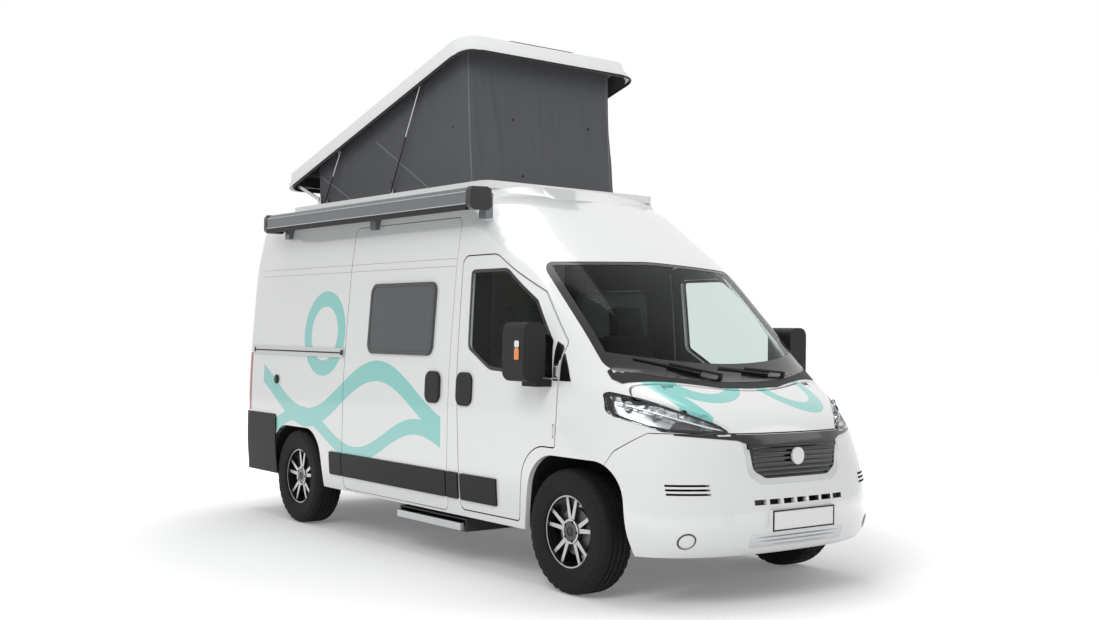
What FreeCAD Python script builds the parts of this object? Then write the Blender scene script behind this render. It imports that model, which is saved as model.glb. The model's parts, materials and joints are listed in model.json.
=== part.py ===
"""Camper van with a raised pop-up roof, one STEP file per piece, in millimetres.

The van faces -Y, its left side is +X, and it stands on z = 0. The pop-up roof is raised.
"""
import FreeCAD, Part
import math
import os

V = FreeCAD.Vector

# Overall sizes
LENGTH = 5413.0
WHEELBASE = 3450.0
FRONT_OVERHANG = 948.0
HALF_WIDTH = 1024.0
TRACK = 1790.0
SILL_Z = 335.0
ROOF_Z = 2530.0

NOSE_Y = -LENGTH / 2
TAIL_Y = LENGTH / 2
FRONT_AXLE_Y = NOSE_Y + FRONT_OVERHANG
REAR_AXLE_Y = FRONT_AXLE_Y + WHEELBASE
WHEEL_X = TRACK / 2

# Body form
WALL = 35.0
PANEL_GAP = 8.0
SEAM = 5.0
SEAT_GAP = 0.3
SQUARENESS = 2.6
REAR_CORNER = 110.0
BONNET_EDGE_Z = 975.0
COWL_Z = 1275.0
REAR_PANEL_Y = 2655.0
FORM_SECTIONS = 18
NOSE_POINTS = 6
NOSE_STEPS = [0.0, 0.265, 0.443, 0.59, 0.716, 0.838, 1.0]
SLOPE_STEP = 4.0

# Height, half width, front at the centre line, depth of the rounded corner, rear
STATIONS = [
    (300.0, 985.0, -2632.0, 600.0, REAR_PANEL_Y),
    (440.0, 1010.0, -2698.0, 640.0, REAR_PANEL_Y),
    (620.0, 1022.0, NOSE_Y, 690.0, REAR_PANEL_Y),
    (700.0, HALF_WIDTH, -2672.0, 710.0, REAR_PANEL_Y),
    (840.0, HALF_WIDTH, -2656.0, 800.0, REAR_PANEL_Y),
    (BONNET_EDGE_Z, HALF_WIDTH, -2648.0, 1060.0, REAR_PANEL_Y),
    (1040.0, 1023.0, -2590.0, 1020.0, REAR_PANEL_Y),
    (1120.0, 1021.0, -2480.0, 880.0, REAR_PANEL_Y),
    (1200.0, 1019.0, -2350.0, 680.0, REAR_PANEL_Y),
    (COWL_Z, 1016.0, -2200.0, 540.0, REAR_PANEL_Y),
    (1500.0, 1003.0, -1958.0, 500.0, REAR_PANEL_Y),
    (1750.0, 985.0, -1680.0, 450.0, REAR_PANEL_Y),
    (2017.0, 963.0, -1370.0, 400.0, REAR_PANEL_Y),
    (2150.0, 947.0, -1190.0, 400.0, 2645.0),
    (2300.0, 925.0, -980.0, 400.0, 2625.0),
    (2420.0, 892.0, -810.0, 380.0, 2605.0),
    (2490.0, 850.0, -660.0, 340.0, 2585.0),
    (ROOF_Z, 790.0, -540.0, 300.0, 2560.0),
]

# Wheels
TYRE_R = 372.0
TYRE_WIDTH = 225.0
RIM_R = 215.0
RIM_WIDTH = 178.0
RIM_WALL = 9.0
SPOKES = 5
HUB_R = 74.0
SPINDLE_R = 30.0
BORE_CLEARANCE = 0.3
BOLT_CIRCLE_R = 59.0
BOLT_R = 9.0
KINGPIN_OFFSET = 30.0
KINGPIN_R = 16.0

# Wheel arches
ARCH_TOP_Z = 815.0
ARCH_OFFSET_Y = -88.0
ARCH_HALF = 425.0
ARCH_LEAN = 45.0
ARCH_ROUND = 245.0
ARCH_REAR_DROP = 45.0
STEER_ROOM = (62.0, 30.0)
HOUSE_INNER_X = 575.0
LINER_WALL = 6.0

# Cab doors, as Y and Z
DOOR_REAR_Y = -600.0
DOOR_FRONT_Y = -1660.0
DOOR_SILL_Z = 385.0
DOOR_TOP_Z = 2050.0
BELT_Z = 1300.0
HINGE_DEPTH = 6.5
HINGE_PIN_R = 3.0
HINGE_BARREL_R = 6.0
HINGE_BARREL_H = 60.0
DOOR_HINGE_Z = (960.0, 1320.0)

# Sliding door and side windows
SLIDING_FRONT_Y = -500.0
SLIDING_REAR_Y = 930.0
SLIDING_TOP_Z = 2320.0
WINDOW_FRONT_Y = -290.0
WINDOW_REAR_Y = 585.0
WINDOW_LOW_Z = 1380.0
WINDOW_HIGH_Z = 1890.0
WINDOW_CORNER = 70.0
WINDOW_PROUD = 14.0
RAIL_LOW_Z = 1340.0
RAIL_HIGH_Z = 1410.0

# Rear doors
REAR_DOOR_X = 850.0
REAR_DOOR_LOW_Z = 520.0
REAR_DOOR_HIGH_Z = 2330.0
REAR_HINGE_Z = (700.0, 1420.0, 1960.0)

# Glass
GLASS = 6.0
GLASS_INSET = 4.0
SCREEN_TOP_Z = 2010.0
SCREEN_LOW_Z = 1300.0

# Bonnet: its outline from above, and its hinges just ahead of its rear edge
BONNET_FRONT_X = 440.0
BONNET_FRONT_Y = -2580.0
BONNET_SIDE_X = 850.0
BONNET_SIDE_Y = -2170.0
BONNET_REAR_X = 835.0
BONNET_REAR_Y = -2085.0
BONNET_TIP_Y = -2370.0
BONNET_ROUND = 40.0
BONNET_REAR_ROUND = 1200.0
BONNET_HINGE_X = 600.0
BONNET_HINGE_BACK = 28.0
BONNET_HINGE_DEPTH = 12.0
BONNET_HINGE_REACH = 52.0
BONNET_HINGE_RISE = 10.0
BONNET_NOTCH_SIDE = 14.0
BONNET_ARM = 26.0
BONNET_ARM_DROP = 14.0

# Number plate's holder
PLATE_HALF = 265.0
PLATE_Y = -2716.0
PLATE_Z = 496.0

# Floor and inside
FLOOR_Z = 480.0
FLOOR_THICK = 40.0
BEAM_IN_X = 430.0
BEAM_OUT_X = 500.0
BEAM_HEIGHT = 90.0
BEAM_FRONT_Y = -2350.0
BUMPER_DEPTH = 90.0
REAR_TUBE_R = 38.0
SPRING_X = 535.0
PIPE_Z = 290.0
PIPE_R = 30.0
BULKHEAD_Y = -1990.0
STEERING_AXIS = V(0, math.cos(math.radians(30)), 0.5)
STEERING_HUB = V(480, -1470, 1160)
SHAFT_R = 18.0

# Pop-up roof: the lid's own frame has s along the lid from its front lower edge, h above its lower edge
FRAME_TOP_Z = 2585.0
LID_LENGTH = 2810.0
LID_HALF = 818.0
LID_SKIRT = 125.0
LID_WALL = 12.0
LID_FLARE = 32.0
LID_LIP = 36.0
LID_CORNER = 190.0
LID_REAR_CORNER = 100.0
LID_CORNER_LEAST = 20.0
FAIRING_TOP = [(775.0, -515.0, 60), (300.0, -545.0, 300)]
FAIRING_LOW = [(822.0, -650.0, 100), (300.0, -1035.0, 300)]
FAIRING_REAR_Y = -400.0
FAIRING_LOW_Z = 2262.0
LID_CLOSED_Z = 2602.0
LID_CLOSED_FRONT_Y = -389.0
HATCH_HALF = 640.0
LIFT_PIN_S = 2709.0
LIFT_PIN_H = 28.0
LIFT_ANCHOR_Y = 1873.0
LIFT_ANCHOR_Z = 2630.0
LIFT_ANGLE = 21.1
LIFT_PIN_R = 7.0
LIFT_ARM_WIDTH = 12.0
LID_ANGLE = 16.4
TENT_HALF = 700.0
TENT_CLOTH = 4.0
TENT_FRONT_Y = -205.0
TENT_REAR_Y = 2020.0
TENT_TOP_H = 142.0
STRUT_X = 734.0
LIFT_ARM_X = 762.0
STRUTS = {"front": (770.0, 704.0, 41.0), "rear": (1815.0, 1960.0, 15.0)}
STRUT_END = 21.0
STRUT_ANCHOR_Z = 2612.0
STRUT_TUBE_R = 7.2
STRUT_ROD_R = 5.0
STRUT_PIN_R = 4.0

# Awning
AWNING_FRONT_Y = -870.0
AWNING_REAR_Y = 2130.0
AWNING_LOW_Z = 2340.0
AWNING_HIGH_Z = 2492.0
AWNING_OUT_X = 1120.0

# Step
STEP_FRONT_Y = -655.0
STEP_REAR_Y = 180.0
STEP_Z = 235.0

SAVED = {}


def save(name, shape):
    """Keeps a piece for the gap work that follows and writes its STEP file."""
    SAVED[name] = shape
    shape.exportStep("parts/" + name + ".step")


def place(u, v, axis, level):
    """Turns outline coordinates into a point on the plane at that level of an axis."""
    if axis == "x":
        return V(level, u, v)
    if axis == "y":
        return V(u, level, v)
    return V(u, v, level)


def corner_cut(before, corner, after, radius):
    """Start, middle and end of the round at an outline's corner."""
    back = (before - corner).normalize()
    ahead = (after - corner).normalize()
    half = back.getAngle(ahead) / 2
    reach = radius / math.tan(half)
    middle = (back + ahead).normalize()
    centre = corner + middle * (radius / math.sin(half))
    return corner + back * reach, centre - middle * radius, corner + ahead * reach


def outline(corners, axis, level):
    """A closed wire through (u, v, radius) corners, each rounded by its radius."""
    points = [place(u, v, axis, level) for u, v, _ in corners]
    cuts = []
    for i, (_, _, radius) in enumerate(corners):
        if radius == 0:
            cuts.append((points[i], None, points[i]))
            continue
        cuts.append(corner_cut(points[i - 1], points[i], points[(i + 1) % len(points)], radius))
    edges = []
    for i, (start, middle, end) in enumerate(cuts):
        if middle is not None:
            edges.append(Part.Arc(start, middle, end).toShape())
        following = cuts[(i + 1) % len(cuts)][0]
        if end.distanceToPoint(following) > 0.001:
            edges.append(Part.makeLine(end, following))
    return Part.Wire(edges)


def prism(corners, axis, low, high):
    """A rounded outline carried along an axis from low to high."""
    direction = {"x": V(1, 0, 0), "y": V(0, 1, 0), "z": V(0, 0, 1)}[axis]
    return Part.Face(outline(corners, axis, low)).extrude(direction * (high - low))


def box(x, y, z):
    """A block between (low, high) pairs on each axis."""
    return Part.makeBox(x[1] - x[0], y[1] - y[0], z[1] - z[0], V(x[0], y[0], z[0]))


def rounded(u, v, radius):
    """The four corners of a rounded rectangle between (low, high) pairs."""
    return [(u[0], v[0], radius), (u[1], v[0], radius), (u[1], v[1], radius), (u[0], v[1], radius)]


def rod(start, end, radius):
    """A round bar between two points."""
    return Part.makeCylinder(radius, start.distanceToPoint(end), start, end - start)


def mirrored(shape):
    """The same piece on the van's other side."""
    return shape.mirror(V(0, 0, 0), V(1, 0, 0))


def whole(half):
    """A left half joined to its mirror image."""
    return half.fuse(mirrored(half))


def both(shape):
    """A piece and its mirror image as one compound."""
    return Part.makeCompound([shape, mirrored(shape)])


def grown(corners, margin):
    """An outline moved outwards by a margin on every side, with the same centre."""
    mid_u = sum(c[0] for c in corners) / len(corners)
    mid_v = sum(c[1] for c in corners) / len(corners)
    result = []
    for i, (u, v, radius) in enumerate(corners):
        before = V(corners[i - 1][0], corners[i - 1][1], 0)
        here = V(u, v, 0)
        after = V(corners[(i + 1) % len(corners)][0], corners[(i + 1) % len(corners)][1], 0)
        first = (here - before).normalize()
        second = (after - here).normalize()
        turn = first.x * second.y - first.y * second.x
        side = 1 if turn_of(corners) > 0 else -1
        normal_a = V(first.y, -first.x, 0) * side
        normal_b = V(second.y, -second.x, 0) * side
        middle = normal_a + normal_b
        moved = here + middle * (margin / (1 + normal_a.dot(normal_b)))
        outside = 1 if turn * side > 0 else -1
        result.append((moved.x, moved.y, max(radius + outside * margin, 0.5) if radius else 0))
    return result


def turn_of(corners):
    """Twice the signed area of an outline, positive when it runs anticlockwise."""
    total = 0
    for i, (u, v, _) in enumerate(corners):
        total += corners[i - 1][0] * v - u * corners[i - 1][1]
    return total


def section(z, half, front, depth, rear, corner):
    """The left half of the body's plan outline at one height: rounded nose, straight side, square tail."""
    points = []
    for i in range(NOSE_POINTS + 1):
        angle = math.radians(90.0 * i / NOSE_POINTS)
        s = math.sin(angle)
        c = math.cos(angle) if i < NOSE_POINTS else 0.0
        x = half * s ** (2 / SQUARENESS)
        points.append(V(x, front + depth * (1 - c ** (2 / SQUARENESS)), z))
    nose = Part.BSplineCurve()
    nose.interpolate(Points=points, Parameters=NOSE_STEPS, InitialTangent=V(1, 0, 0), FinalTangent=V(0, 1, 0))
    turn = corner * (1 - math.sqrt(0.5))
    side = Part.makeLine(V(half, front + depth, z), V(half, rear - corner, z))
    arc = Part.Arc(V(half, rear - corner, z), V(half - turn, rear - turn, z), V(half - corner, rear, z))
    tail = Part.makeLine(V(half - corner, rear, z), V(0, rear, z))
    middle = Part.makeLine(V(0, rear, z), V(0, front, z))
    return Part.Wire([nose.toShape(), side, arc.toShape(), tail, middle])


def station_curve(column):
    """A smooth run of one column of the stations over height, without overshoot."""
    zs = [s[0] for s in STATIONS]
    values = [s[column] for s in STATIONS]
    steps = [b - a for a, b in zip(zs, zs[1:])]
    rates = [(b - a) / h for a, b, h in zip(values, values[1:], steps)]
    tangents = [rates[0]]
    for i in range(1, len(rates)):
        before, after = rates[i - 1], rates[i]
        low, high = steps[i - 1], steps[i]
        flat = before * after <= 0
        mean = 0 if flat else 3 * (low + high) / ((2 * high + low) / before + (high + 2 * low) / after)
        tangents.append(mean)
    tangents.append(rates[-1])

    def value(z):
        i = min(sum(1 for level in zs[1:-1] if z >= level), len(steps) - 1)
        h = steps[i]
        t = (z - zs[i]) / h
        start = (1 + 2 * t) * (1 - t) ** 2 * values[i] + t * (1 - t) ** 2 * h * tangents[i]
        end = t * t * (3 - 2 * t) * values[i + 1] + t * t * (t - 1) * h * tangents[i + 1]
        return start + end

    return value


def body_form(inset, low):
    """The left half of the body's form from a low level up, set inwards by a wall thickness."""
    curves = [station_curve(column) for column in (1, 2, 3, 4)]
    high = ROOF_Z - inset
    wires = []
    for i in range(FORM_SECTIONS + 1):
        z = low + (high - low) * i / FORM_SECTIONS
        half, front, depth, rear = [curve(z) for curve in curves]
        above = min(z + SLOPE_STEP, ROOF_Z)
        below = max(z - SLOPE_STEP, STATIONS[0][0])
        side, nose = [inset * math.hypot(1, (c(above) - c(below)) / (above - below)) for c in curves[:2]]
        wires.append(section(z, half - side, front + nose, depth - side, rear - inset, REAR_CORNER - inset))
    return Part.makeLoft(wires, True, False)


def arch_corners(axle_y, margin):
    """A wheel arch in side view: upright feet and a flat, widely rounded top."""
    steered = axle_y < 0
    centre = axle_y + (ARCH_OFFSET_Y if steered else 0)
    half = ARCH_HALF + margin
    top = ARCH_TOP_Z + margin - (0 if steered else ARCH_REAR_DROP)
    foot_room, top_room = STEER_ROOM if steered else (0, 0)
    radius = ARCH_ROUND + margin
    return [
        (centre - half - ARCH_LEAN, 150, 0),
        (centre + half + ARCH_LEAN + foot_room, 150, 0),
        (centre + half - ARCH_LEAN + top_room, top, radius),
        (centre - half + ARCH_LEAN, top, radius),
    ]


def door_corners():
    """The cab door in side view: upright rear, sloping front pillar and the bite round the arch."""
    return [
        (DOOR_REAR_Y - 65, DOOR_SILL_Z, 40),
        (DOOR_REAR_Y, BELT_Z, 0),
        (DOOR_REAR_Y + 20, DOOR_TOP_Z, 60),
        (-960, DOOR_TOP_Z, 160),
        (-1410, 1800, 60),
        (-1690, 1490, 40),
        (DOOR_FRONT_Y, 865, 15),
        (-1355, 865, 230),
        (-1300, DOOR_SILL_Z, 25),
    ]


def glass_corners():
    """The cab door's glass in side view."""
    return [
        (-705, 1440, 60),
        (-680, 1960, 40),
        (-1090, 1960, 110),
        (-1395, 1752, 60),
        (-1600, 1500, 40),
        (-1625, 1275, 12),
        (-960, 1305, 200),
    ]


def screen_corners(margin):
    """The windscreen seen from the front."""
    return [
        (-865 - margin, SCREEN_LOW_Z + 35 - margin, 60),
        (0, SCREEN_LOW_Z - 45 - margin, 2600),
        (865 + margin, SCREEN_LOW_Z + 35 - margin, 60),
        (838 + margin, SCREEN_TOP_Z - 12 + margin, 90),
        (0, SCREEN_TOP_Z + 22 + margin, 2600),
        (-838 - margin, SCREEN_TOP_Z - 12 + margin, 90),
    ]


def lamp_corners():
    """The left headlamp seen from the front."""
    return [(455, 985, 12), (800, 1000, 60), (955, 1080, 60), (940, 1215, 25), (800, 1170, 200), (520, 1040, 60)]


def bumper_side(margin):
    """The bumper in side view, ahead of the arch and under the lamp."""
    return [(-2900, 200, 0), (-2000, 200, 0), (-2000, 690 + margin, 0), (-2090, 765 + margin, 0),
            (-2150 + margin, 877 + margin, 0), (-2300, 985 + margin, 0), (-2900, 985 + margin, 0)]


def bonnet_plan(margin):
    """The bonnet seen from above, between the lamps, the wings and the cowl; its rear gap is twice as wide."""
    half = [
        (BONNET_FRONT_X + margin, -2900, 0),
        (BONNET_FRONT_X + margin, BONNET_FRONT_Y, BONNET_ROUND),
        (BONNET_SIDE_X + margin, BONNET_SIDE_Y, BONNET_ROUND),
        (BONNET_REAR_X + margin, BONNET_REAR_Y + 2 * margin, BONNET_ROUND),
    ]
    tip = (0, BONNET_TIP_Y + 2 * margin, BONNET_REAR_ROUND)
    return [(0, -2900, 0)] + half + [tip] + [(-x, y, r) for x, y, r in reversed(half)]


def bonnet_hinge_y():
    """The hinge line, ahead of the opening's rear edge at the hinge."""
    edge = BONNET_REAR_Y + (BONNET_TIP_Y - BONNET_REAR_Y) * (1 - BONNET_HINGE_X / BONNET_REAR_X)
    return edge - BONNET_HINGE_BACK


def grille_corners(margin):
    """The grille's mouth seen from the front."""
    return [(-420 - margin, 965, 20), (-385 - margin, 745 - margin, 60), (-300 - margin, 700 - margin, 60),
            (300 + margin, 700 - margin, 60), (385 + margin, 745 - margin, 60), (420 + margin, 965, 20)]


def surface_x(form, y, z):
    """How far out the body's side lies at a place."""
    cut = form.common(Part.makeLine(V(0, y, z), V(1500, y, z)))
    return cut.BoundBox.XMax


def surface_z(form, x, y):
    """How high the body's top lies at a place."""
    cut = form.common(Part.makeLine(V(x, y, 600), V(x, y, 3000)))
    return cut.BoundBox.ZMax


def hinge_line(form):
    """Top and bottom points of the cab door's hinge line, just under the skin."""
    y = DOOR_FRONT_Y + PANEL_GAP / 2 + HINGE_DEPTH / 2
    return [V(surface_x(form, y, z) - HINGE_DEPTH, y, z) for z in DOOR_HINGE_Z]


def hinge_parts(centre, direction, to_body, to_door, height):
    """A pin held by two ears, and the barrel that turns on it. Returns (body side, door side, room)."""
    half = height / 2
    start = centre - direction * (half + 8)
    pin = rod(start, centre + direction * (half + 8), HINGE_PIN_R)
    ears = None
    arm_rooms = []
    for sign in (-1, 1):
        base = centre + direction * (sign * (half + 4.5))
        arm_rooms.append(link_bar(base, base + to_body * 1.3, direction, 7.0 + 5.0, HINGE_BARREL_R * 1.6 + 6.0))
        ear = rod(base - direction * 3.5, base + direction * 3.5, HINGE_BARREL_R)
        arm = link_bar(base, base + to_body, direction, 7.0, HINGE_BARREL_R * 1.6)
        ears = ear.fuse(arm) if ears is None else ears.fuse([ear, arm])
    barrel = rod(centre - direction * half, centre + direction * half, HINGE_BARREL_R)
    web = link_bar(centre, centre + to_door, direction, height, HINGE_BARREL_R * 1.2)
    bore = rod(start, centre + direction * (half + 8), HINGE_PIN_R + BORE_CLEARANCE)
    room = rod(start - direction * 3, centre + direction * (half + 11), HINGE_BARREL_R + 10).fuse(arm_rooms)
    return pin.fuse(ears), barrel.fuse(web).cut(bore), room


def link_bar(start, end, direction, height, thick):
    """A flat bar from start to end, its height along direction."""
    run = end - start
    side = run.cross(direction).normalize()
    base = start - direction * (height / 2) - side * (thick / 2)
    wire = Part.makePolygon([base, base + run, base + run + side * thick, base + side * thick, base])
    return Part.Face(wire).extrude(direction * height)


def window_prism(axis_low, axis_high, margin):
    """The side window's outline carried through the wall."""
    return prism(rounded((WINDOW_FRONT_Y - margin, WINDOW_REAR_Y + margin),
                         (WINDOW_LOW_Z - margin, WINDOW_HIGH_Z + margin), WINDOW_CORNER + margin),
                 "x", axis_low, axis_high)


def rear_window_corners(margin):
    """The left rear door's window seen from the front."""
    return rounded((190 - margin, 740 + margin), (1370 - margin, 1900 + margin), 60)


def lamp_prism(margin):
    """The left headlamp's outline carried through the nose."""
    return prism(grown(lamp_corners(), margin) if margin else lamp_corners(), "y", -2900, -1900)


def tail_lamp_prism(margin):
    """The left tail lamp's upright outline, on the corner beside the rear door."""
    side = prism(rounded((2530 - margin, 2800), (860 - margin, 1350 + margin), 15), "x", 800, 1200)
    return side.cut(box((0, REAR_DOOR_X + PANEL_GAP + 14 - margin), (2000, 2900), (0, 2000)))


def make_body(shell):
    """The left half of the fixed body with its doorways, and every panel cut from the same wall."""
    slide = rounded((SLIDING_FRONT_Y, SLIDING_REAR_Y), (SILL_Z + 20, SLIDING_TOP_Z), 50)
    rear_hole = prism(rounded((-REAR_DOOR_X, REAR_DOOR_X + PANEL_GAP),
                              (REAR_DOOR_LOW_Z - PANEL_GAP, REAR_DOOR_HIGH_Z + PANEL_GAP), 30), "y", 2300, 2900)
    arches = [prism(arch_corners(y, 0), "x", HOUSE_INNER_X, 1200) for y in (FRONT_AXLE_Y, REAR_AXLE_Y)]
    below = box((-100, 1200), (-2000, 2800), (0, SILL_Z))
    tail_cut = box((-100, 1200), (2040, 2800), (0, REAR_DOOR_LOW_Z - PANEL_GAP))
    hatch = box((-100, HATCH_HALF), (-150, 2250), (2400, 2700))
    clean = shell.cut(arches + [below])
    panels = {
        "cab_door": clean.common(prism(door_corners(), "x", 600, 1200)),
        "sliding_door": clean.common(prism(slide, "x", 600, 1200)).cut(window_prism(0, 1200, 0)),
        "rear_door": clean.common(prism(rounded((SEAM, REAR_DOOR_X), (REAR_DOOR_LOW_Z, REAR_DOOR_HIGH_Z), 30),
                                        "y", 2300, 2900)),
        "bonnet": clean.common(prism(bonnet_plan(-PANEL_GAP), "z", BONNET_EDGE_Z + 17, 1500)),
        "bumper": clean.common(prism(bumper_side(0), "x", -100, 1200)),
        "headlamp": clean.common(lamp_prism(0)).cut(prism(bonnet_plan(SEAM), "z", BONNET_EDGE_Z - 200, 1500)),
        "tail_lamp": clean.common(tail_lamp_prism(0)),
    }
    holes = [prism(grown(door_corners(), PANEL_GAP), "x", 600, 1200), rear_hole,
             prism(screen_corners(0), "y", -2600, -1000), prism(bonnet_plan(0), "z", BONNET_EDGE_Z + 4, 1500),
             lamp_prism(SEAM), tail_lamp_prism(SEAM), prism(bumper_side(SEAM), "x", -100, 1200),
             hatch, tail_cut, window_prism(0, 1200, 0)]
    panels["body"] = biggest(clean.cut(holes))
    panels["slide_hole"] = prism(grown(slide, SEAM), "x", 600, 1200)
    return panels


def biggest(shape):
    """The largest solid of a shape."""
    return max(shape.Solids, key=lambda solid: solid.Volume)


def make_nose(panels):
    """Bumper skin, grille with its bars, surround, lower grille and lamps."""
    skin = panels["bumper"]
    mouth = prism(grille_corners(0), "y", -2900, -2400)
    lower = prism(rounded((-400, 400), (345, 425), 20), "y", -2900, -2400)
    slots = [box((-385 + 112 * i, -385 + 112 * i + 88), (-2900, -2500), (588, 618)) for i in range(3, 7)]
    slits = [box((640, 860), (-2900, -2200), (700 - 24 * i, 712 - 24 * i)) for i in range(3)]
    bumper = skin.cut([mouth, lower, lamp_prism(SEAM)] + slots + slits)
    plate = box((-1, PLATE_HALF), (PLATE_Y, PLATE_Y + 30), (PLATE_Z - 62, PLATE_Z + 62))
    save("front_bumper", whole(biggest(bumper.fuse(plate))))
    surround = skin.common(prism(grille_corners(-SEAT_GAP), "y", -2900, -2400))
    opening = prism(grille_corners(-34), "y", -2900, -2400).fuse(box((-387, 387), (-2900, -2400), (900, 990)))
    save("grille_surround", whole(biggest(surround.cut(opening))))
    inside = skin.common(prism(grille_corners(-34 - SEAT_GAP), "y", -2900, -2400))
    gaps = [box((-350, 350), (-2900, -2634), (742 + 27 * i, 756 + 27 * i)) for i in range(8)]
    save("grille", whole(biggest(inside.cut(gaps))))
    bars = skin.common(prism(rounded((-400 + SEAT_GAP, 400 - SEAT_GAP), (345 + SEAT_GAP, 425 - SEAT_GAP), 19),
                             "y", -2900, -2400))
    slits = [box((-385, 385), (-2900, -2670), (356 + 22 * i, 366 + 22 * i)) for i in range(3)]
    save("lower_grille", whole(biggest(bars.cut(slits))))
    save("headlamps", both(biggest(panels["headlamp"])))
    save("tail_lamps", both(biggest(panels["tail_lamp"])))


def skin(outer, tool, shift, depth):
    """A sheet of glass cut from the form: from shift below the skin down to shift plus depth."""
    direction = V(shift).normalize()
    high = outer.translated(shift)
    low = outer.translated(shift + direction * depth)
    return biggest(high.common(tool).cut(low))


def make_glass(outer):
    """Windscreen, door glass, rear and side windows."""
    tool = prism(grown(screen_corners(0), -SEAT_GAP), "y", -2600, -1000)
    save("windscreen", whole(skin(outer, tool, V(0, GLASS_INSET, 0), 1.5 * GLASS)))
    tool = prism(grown(glass_corners(), -SEAT_GAP), "x", 600, 1200)
    glass = skin(outer, tool, V(-GLASS_INSET, 0, 0), GLASS)
    save("cab_glass_l", glass)
    save("cab_glass_r", mirrored(glass))
    tool = prism(rear_window_corners(-SEAT_GAP), "y", 2300, 2900)
    pane = tool.common(box((0, 1000), (REAR_PANEL_Y - 26, REAR_PANEL_Y - 14), (1000, 2200)))
    save("rear_glass_l", pane)
    save("rear_glass_r", mirrored(pane))
    frame = window_prism(0, 1200, -SEAT_GAP)
    pane = frame.common(outer.translated(V(WINDOW_PROUD, 0, 0)))
    pane = biggest(pane.cut(outer.translated(V(-GLASS_INSET * 4, 0, 0))))
    save("side_windows", both(pane))


def hinged(panel, centres, direction, to_body, to_door):
    """Cuts room for hinges in a panel and adds its barrels. Returns (panel, body sides)."""
    bodies = []
    for centre in centres:
        body_side, door_side, room = hinge_parts(centre, direction, to_body, to_door, HINGE_BARREL_H)
        panel = panel.cut(room).fuse(door_side)
        bodies.append(body_side)
    return biggest(panel), bodies


def make_doors(outer, panels):
    """Cab doors, rear doors and bonnet with their hinges. Returns the hinges' fixed sides."""
    fixed = []
    low, high = hinge_line(outer)
    door = biggest(panels["cab_door"]).cut(prism(glass_corners(), "x", 600, 1200))
    door, sides = hinged(biggest(door), [low, high], (high - low).normalize(), V(-8, -24, 0), V(-8, 24, 0))
    save("cab_door_l", door)
    save("cab_door_r", mirrored(door))
    fixed += sides
    rear = biggest(panels["rear_door"]).cut(prism(rear_window_corners(0), "y", 2300, 2900))
    x = REAR_DOOR_X - HINGE_DEPTH + 0.5
    centres = [V(x, REAR_PANEL_Y - HINGE_DEPTH, z) for z in REAR_HINGE_Z]
    rear, sides = hinged(biggest(rear), centres, V(0, 0, 1), V(28, -10, 0), V(-24, -10, 0))
    save("rear_door_l", rear)
    save("rear_door_r", mirrored(rear))
    fixed += sides
    bonnet = biggest(panels["bonnet"].cut(lamp_prism(SEAM)))
    x, y = BONNET_HINGE_X, bonnet_hinge_y()
    centre = V(x, y, surface_z(outer, x, y) - BONNET_HINGE_DEPTH)
    notch = HINGE_BARREL_H / 2 + BONNET_NOTCH_SIDE
    bonnet = bonnet.cut(box((x - notch, x + notch), (y - 2, BONNET_REAR_Y), (centre.z - WALL, centre.z + WALL)))
    bonnet, sides = hinged(bonnet, [centre], V(1, 0, 0), V(0, BONNET_HINGE_REACH, BONNET_HINGE_RISE),
                           V(0, -BONNET_ARM, -BONNET_ARM_DROP))
    save("bonnet", whole(bonnet))
    return fixed + sides


def tail_bracket(outer, inner):
    """The shelf inside the rear corner that the tail lamp sits on, grown from the wall under the lamp."""
    room = inner.translated(V(-SEAT_GAP, -SEAT_GAP, 0))
    shelf = box((862, 1010), (2505, REAR_PANEL_Y), (825, 1375)).common(room)
    shelf = shelf.cut(box((800, 955), (2400, 2598), (840, 1400)))
    foot = box((880, 990), (2530, 2640), (825, 853)).common(outer)
    return shelf.fuse(foot)


def make_body_shell(panels, fixed):
    """The fixed body with the hinges' fixed sides, and the sliding door's opening on the right."""
    left = biggest(panels["body"].fuse(fixed))
    right = mirrored(biggest(left.cut(panels["slide_hole"])))
    save("body_shell", biggest(left.fuse(right)))


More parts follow.
